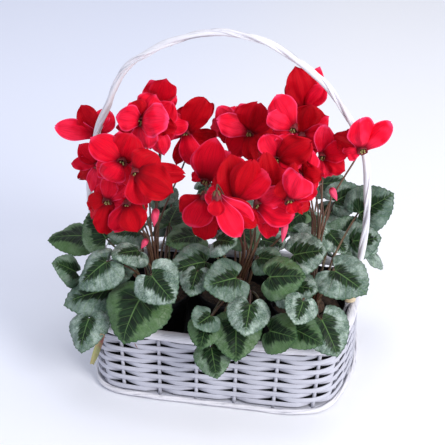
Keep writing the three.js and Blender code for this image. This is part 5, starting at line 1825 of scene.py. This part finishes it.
@dataclass
class Flowers:
    """Blooms, stalks, buds and corms, in mm.

    A short petal fills each gap between two others whose angle lies between the two of gap. A pair
    for an anther, a sepal or a stalk is a distance from the axis and a height along it. hook is the
    least and the most that a stalk rises behind its bloom.
    """

    step: float = 1.7
    depth: float = 2.0
    fuller: float = 1.14
    root: float = 1.4
    gap: tuple[float, float] = (0.95, 3.2)
    short: float = 0.93
    short_most: float = 34.0
    short_bow: float = 4.0
    neck: float = 0.50
    belly: float = 1.24
    tip_from: float = 0.54
    tip_span: float = 0.465
    crease_wide: float = 0.30
    crease_deep: float = 0.26
    fives: int = 5
    nose: tuple[tuple[float, float], ...] = (
        (0.0, 4.0), (3.4, -1.0), (5.2, -4.2), (6.3, -5.0), (6.6, -4.2), (6.2, 0.0), (5.3, 4.0),
        (3.9, 7.6), (2.6, 8.9), (0.0, 9.1))
    anther_foot: tuple[float, float] = (2.0, 1.0)
    anther_tip: tuple[float, float] = (2.7, -5.6)
    sepal_wide: float = 2.1
    sepal_foot: tuple[float, float] = (2.2, 9.6)
    sepal_tip: tuple[float, float] = (6.4, 3.0)
    stalk: float = 1.35
    stalk_foot: tuple[float, float] = (5.6, 110.0)
    stalk_rise: tuple[float, float] = (6.4, 128.0)
    bunch: float = 8.0
    hook: tuple[float, float] = (16.0, 34.0)
    corm: tuple[tuple[float, float], ...] = (
        (0, 95.8), (10, 95.9), (14.5, 96.6), (18.8, 99.5), (20.4, 103), (19.2, 107), (15.5, 110.4),
        (10, 111.9), (4, 112.2), (0, 112.0))

    def build(self, finishes: Finishes) -> None:
        """Makes every bloom and then each plant's corm, stalks and buds."""
        for i, spec in enumerate(BLOOMS):
            self._bloom(i, spec, finishes)
        for plant, stand in STANDS.items():
            self._stalks(plant, stand, finishes)

    def _bloom(self, index: int, spec: tuple, finishes: Finishes) -> None:
        """A bloom: petals thrown back from a short nose, with a dark mouth, anthers and a calyx."""
        name, _, mouth, axis, petals = spec
        place = SIGHT.place(mouth)
        a = Vector(axis).normalized()
        maker = Maker(f"petals_{name}")
        dice = random.Random(900 + index)
        layers = sorted([*petals, *self._between(mouth, petals)], key=lambda p: p[2])
        for i, (u, v, dy, width, bow) in enumerate(layers):
            layer = SIGHT.ahead * (min(i - 2, 3) * self.step * MM)
            tip = SIGHT.place((u, v, mouth[2] + dy * self.depth)) - place + layer * 2
            root = tip.normalized() * self.root * MM + layer
            self._petal(maker, place, root, tip, width * self.fuller * MM, bow * MM, dice)
        self._nose(maker, place, a, dice)
        maker.place([finishes.petal, finishes.mouth, finishes.anther, finishes.calyx],
                    [f"bloom_{name}"], "petal", outward=False)

    def _between(self, mouth: Spot, petals: list[PetalSpot]) -> list[PetalSpot]:
        """Shorter petals half hidden behind the others, where two neighbours stand far apart.

        Args:
            mouth: The mouth of the nose, as a spot of the view.
            petals: The petals of the list.

        Returns:
            The petals that fill the gaps, in the same form as the list.
        """
        turns = sorted((math.atan2(p[1] - mouth[1], p[0] - mouth[0]), p) for p in petals)
        extra: list[PetalSpot] = []
        for (a, first), (b, second) in zip(turns, turns[1:] + [(turns[0][0] + TURN, turns[0][1])]):
            if not self.gap[0] < b - a < self.gap[1]:
                continue
            long = [math.hypot(p[0] - mouth[0], p[1] - mouth[1]) for p in (first, second)]
            reach = min(max(min(long), 0.75 * max(long)), self.short_most) * self.short
            turn = (a + b) / 2
            extra.append((mouth[0] + cos(turn) * reach, mouth[1] + sin(turn) * reach,
                          max(first[2], second[2]) + 2, (first[3] + second[3]) / 2, self.short_bow))
        return extra

    def _petal(self, maker: Maker, place: Vector, root: Vector, tip: Vector, width: float,
               bow: float, dice: random.Random) -> None:
        """One petal from the nose to its tip, bowed towards the viewer, waved and turned a little.

        Args:
            maker: The mesh that it joins.
            place: The bloom's mouth.
            root: Where the petal starts, from the mouth.
            tip: Where it ends, from the mouth.
            width: Its greatest width.
            bow: How far it bows.
            dice: The bloom's own draw.
        """
        span = tip - root
        n, side = facing(span.normalized())
        form = PetalForm.draw(dice)

        def skin(s: float, t: float) -> Vector:
            """The petal's middle sheet."""
            w = t * 2 - 1
            body = lerp(self.neck, self.belly, ease(-0.05, 0.55, s))
            cap = max(1 - (max(s - self.tip_from, 0) / self.tip_span) ** 2.3, 0.0)
            half = width / 2 * body * cap ** lerp(*form.ends, t)
            across = spoke(side, n, form.curl * s)
            rise = bow * 4 * s * (1 - s) - abs(w) ** 1.6 * half * form.cup
            ruffle = sin(5.2 * pi * s + form.phase + 2.6 * w) * abs(w) ** 2
            rise += form.ruff * ruffle * ease(0.2, 0.6, s)
            rise += form.fold * cos(pi * w * 1.6 + form.phase) * ease(0.1, 0.4, s) * (1.15 - s)
            for mid, deep in form.creases:
                near = abs(w - mid * (0.5 + 0.6 * s)) / self.crease_wide
                fade = max(1 - near, 0.0) ** 1.4 * ease(0.05, 0.3, s)
                rise += half * self.crease_deep * deep * fade
            end = s * 1.04 - form.notch * ease(0.90, 1.0, s) * (1 - abs(w) ** 1.5)
            lean = form.skew * s * s * width
            return place + root + span * end + across * (w * half + lean) + n * rise

        maker.sheet(18, 20, skin, n, BloomPart.PETAL, form.tone)

    def _nose(self, maker: Maker, place: Vector, a: Vector, dice: random.Random) -> None:
        """The short tube behind the mouth, the anthers in it and the calyx on its end."""
        side = a.cross(Vector((0.2, 0.1, 1))).normalized()
        other = a.cross(side)
        last = len(self.nose) - 1

        def nose(s: float, t: float) -> Vector:
            """The nose, hollow at its mouth and five-lobed."""
            r, h = self.nose[round(s * last)]
            turn = t * TURN
            lobe = 1 + 0.08 * cos(self.fives * turn)
            return place + (spoke(side, other, turn) * r * lobe + a * h) * MM

        maker.drape(last, 30, nose, BloomPart.MOUTH)
        for k in range(self.fives):
            turn = (k + dice.random() * 0.4) * TURN / self.fives
            ray = spoke(side, other, turn)
            foot, tip = (place + (ray * r + a * h) * MM for r, h in (self.anther_foot, self.anther_tip))
            maker.tube([foot, foot.lerp(tip, 0.4), foot.lerp(tip, 0.75), tip],
                       lambda s: (0.5 + 0.65 * s) * MM, 6, BloomPart.ANTHER, dice.random())
            self._sepal(maker, place, a, spoke(side, other, turn + 0.5))

    def _sepal(self, maker: Maker, place: Vector, a: Vector, ray: Vector) -> None:
        """One pointed sepal that hugs the nose."""
        across = a.cross(ray).normalized()
        (near, high), (far, low) = self.sepal_foot, self.sepal_tip

        def skin(s: float, t: float) -> Vector:
            """The sepal's sheet."""
            w = (t * 2 - 1) * self.sepal_wide * math.sqrt(max(1 - s, 0)) * (0.55 + 0.9 * s)
            r = lerp(near, far, s ** 0.8) + 0.5
            return place + (ray * r + a * lerp(high, low, s) + across * w) * MM

        maker.sheet(5, 4, skin, ray, BloomPart.SEPAL, thick=0.5 * MM)

    @staticmethod
    def _order(plant: Plant) -> list[tuple]:
        """A plant's blooms in order of the way that their stalks lean."""
        bunch = SIGHT.place(STANDS[plant].bunch)

        def lean(spec: tuple) -> float:
            """The level direction of the bloom from the bunch."""
            place = SIGHT.place(spec[2])
            return math.atan2(place.y - bunch.y, place.x - bunch.x)

        return sorted((b for b in BLOOMS if b[1] == plant.value), key=lean)

    def _path(self, plant: Plant, crown: Vector, index: int, total: int, spec: tuple) -> Spline:
        """The way of a flower stalk, from the corm to the calyx.

        Args:
            plant: The plant.
            crown: The middle of its corm, in metres.
            index: The stalk's place among the plant's stalks.
            total: How many stalks the plant has.
            spec: The bloom, as the list gives it.

        Returns:
            The stalk's curve, in metres.
        """
        _, _, mouth, axis, petals = spec
        a = Vector(axis).normalized()
        place = SIGHT.place(mouth)
        angle = index / total * TURN - pi * 0.9
        ring = level(angle)
        start, first = (crown + UP * (height * MM) + ring * far * MM
                        for far, height in (self.stalk_foot, self.stalk_rise))
        bunch = SIGHT.place(STANDS[plant].bunch) + ring * self.bunch * MM
        end = place + a * self.nose[-2][1] * MM
        over = place + a * 13 * MM + mm(0, 2.5, -2.5)
        low = min(SIGHT.place((u, v, mouth[2] + dy * self.depth)).z for u, v, dy, _, _ in petals)
        drop = min(max((place.z - low) / MM + 6, self.hook[0]), self.hook[1]) if axis[2] <= 0.9 else 0
        back = place + a * 14 * MM + mm(0, 6, -drop)
        return Spline([start, first, bunch, back, over, end])

    def _stalks(self, plant: Plant, stand: Stand, finishes: Finishes) -> None:
        """A plant's corm, its flower stalks and its buds."""
        crown = mm(*stand.crown, 0)
        maker = Maker(f"corm_{plant.value}.stalks")

        def bark(p: Vector) -> Vector:
            """Roughens the corm."""
            if p.z > 0.1115 or p.xy.length < 0.002:
                return p
            return p + Vector((p.x, p.y, 0)).normalized() * noise.noise(p * 180) * 0.0009

        maker.turned(self.corm, crown, 48, StalkPart.CORM, bark)
        order = self._order(plant)
        for i, spec in enumerate(order):
            line = self._path(plant, crown, i, len(order), spec).cut(44)
            maker.tube(line, self._girth, 8, StalkPart.STALK, (i * 0.31) % 1)
        for i, (_, base, tip, width) in enumerate(b for b in BUDS if b[0] == plant.value):
            foot = crown + mm(-1.5 + 3 * i, -1.5 * i, 110)
            start, end = SIGHT.place(base), SIGHT.place(tip)
            path = Spline([foot, Vector((foot.x, foot.y, 0.126)), start + mm(0, 8, -14), start])
            maker.tube(path.cut(20), self._girth, 8, StalkPart.STALK, 0.6)
            self._bud(maker, start, end, width * MM)
        maker.place([finishes.stalk, finishes.corm, finishes.bud], [f"corm_{plant.value}"], "stalk",
                    outward=False)

    def _girth(self, share: float) -> float:
        """A flower stalk's radius in metres, a little thinner towards its end."""
        return self.stalk * MM * (1 - 0.2 * share)

    @staticmethod
    def _bud(maker: Maker, start: Vector, end: Vector, width: float) -> None:
        """A twisted bud."""
        along = (end - start).normalized()
        side = along.cross(Vector((0, 1, 0))).normalized()
        other = along.cross(side)
        span = (end - start).length

        def skin(s: float, t: float) -> Vector:
            """The bud: five folds that wind to a point."""
            turn = t * TURN
            fat = sin(pi * min(s * 0.93 + 0.07, 1.0) ** 0.75)
            r = width / 2 * max(fat, 0.0) * (1 + 0.09 * cos(5 * (turn + 1.8 * s)))
            r = 0.0 if s in (0.0, 1.0) else r
            return start + along * span * lerp(-0.05, 1.0, s) + spoke(side, other, turn) * r

        maker.drape(14, 20, skin, StalkPart.BUD, 0.7)


# ---- stage


@dataclass
class Stage:
    """The pale floor, the soft light and the camera, in metres."""

    floor: Colour = rgb(0.88, 0.885, 0.925)
    shade: Colour = rgb(0.80, 0.83, 0.95)
    reach: float = 9.0
    below: float = 0.0004
    sky: Colour = rgb(0.88, 0.91, 1.0)
    glow: float = 0.62
    aim: float = 0.2
    sensor: float = 36.0

    def build(self) -> None:
        """Makes the floor, lights, world and camera."""
        self._floor()
        self._light("key", (1.9, -1.5, 1.55), size=1.1, power=62.0, colour=(1.0, 0.985, 0.97))
        self._light("fill", (-1.6, -1.9, 2.2), size=2.2, power=12.0, colour=(0.86, 0.90, 1.0))
        self._light("top", (0.2, 0.9, 2.6), size=2.0, power=22.0, colour=(0.95, 0.96, 1.0))
        self._world()
        self._camera()

    def _floor(self) -> None:
        """A wide plain floor, bluer towards the left as painted shadow."""
        r = Recipe("pale floor")
        spot = r.add("SeparateXYZ", {0: r.add("TexCoord").outputs["Object"]})
        # Painted shadow: the floor turns bluer from x = 0.1 to -0.55, for the soft shadow that falls to the
        # left.
        share = ramp(r.tree, spot.outputs[0], 0.1, -0.55)
        r.set(Base_Color=blend(r.tree, share, self.floor, self.shade), Roughness=0.9)
        bm = bmesh.new()
        bmesh.ops.create_grid(bm, x_segments=1, y_segments=1, size=self.reach)
        data = bpy.data.meshes.new("floor")
        bm.to_mesh(data)
        bm.free()
        data.materials.append(r.material)
        floor = bpy.data.objects.new("floor", data)
        floor.location.z = -self.below
        bpy.context.scene.collection.objects.link(floor)

    def _light(self, name: str, place: tuple[float, float, float], size: float, power: float,
               colour: tuple[float, float, float]) -> None:
        """A soft square light that faces the flowers.

        Args:
            name: The light.
            place: Where it hangs.
            size: The length of its sides.
            power: Its power in watts.
            colour: Its red, green and blue.
        """
        data = bpy.data.lights.new(name, "AREA")
        data.size = size
        data.energy = power
        data.color = colour
        lamp = bpy.data.objects.new(name, data)
        lamp.location = place
        way = UP * self.aim - Vector(place)
        lamp.rotation_euler = way.to_track_quat("-Z", "Y").to_euler()
        bpy.context.scene.collection.objects.link(lamp)

    def _world(self) -> None:
        """An even pale sky."""
        world = bpy.data.worlds.new("pale sky")
        world.use_nodes = True
        sky = next(n for n in world.node_tree.nodes if n.type == "BACKGROUND")
        sky.inputs["Color"].default_value = self.sky
        sky.inputs["Strength"].default_value = self.glow
        bpy.context.scene.world = world
        bpy.context.scene.view_settings.view_transform = "Standard"

    def _camera(self) -> None:
        """The camera at the photograph's place, with its lens worked out for a square frame."""
        data = bpy.data.cameras.new("camera")
        data.sensor_fit = "HORIZONTAL"
        data.sensor_width = self.sensor
        data.lens = SIGHT.focal / SIGHT.width * self.sensor
        camera = bpy.data.objects.new("camera", data)
        turn = Matrix((SIGHT.across, SIGHT.above, -SIGHT.ahead)).transposed().to_4x4()
        camera.matrix_world = Matrix.Translation(SIGHT.eye) @ turn
        bpy.context.scene.collection.objects.link(camera)
        bpy.context.scene.camera = camera


def main() -> None:
    """Builds the dressed part round the frame."""
    logging.basicConfig(level=logging.INFO, format="%(name)s %(message)s")
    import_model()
    Stage().build()
    finishes = Finishes()
    Basket().build(finishes)
    Pots().build(finishes)
    Foliage().build(finishes)
    Flowers().build(finishes)


if __name__ == "__main__":
    main()
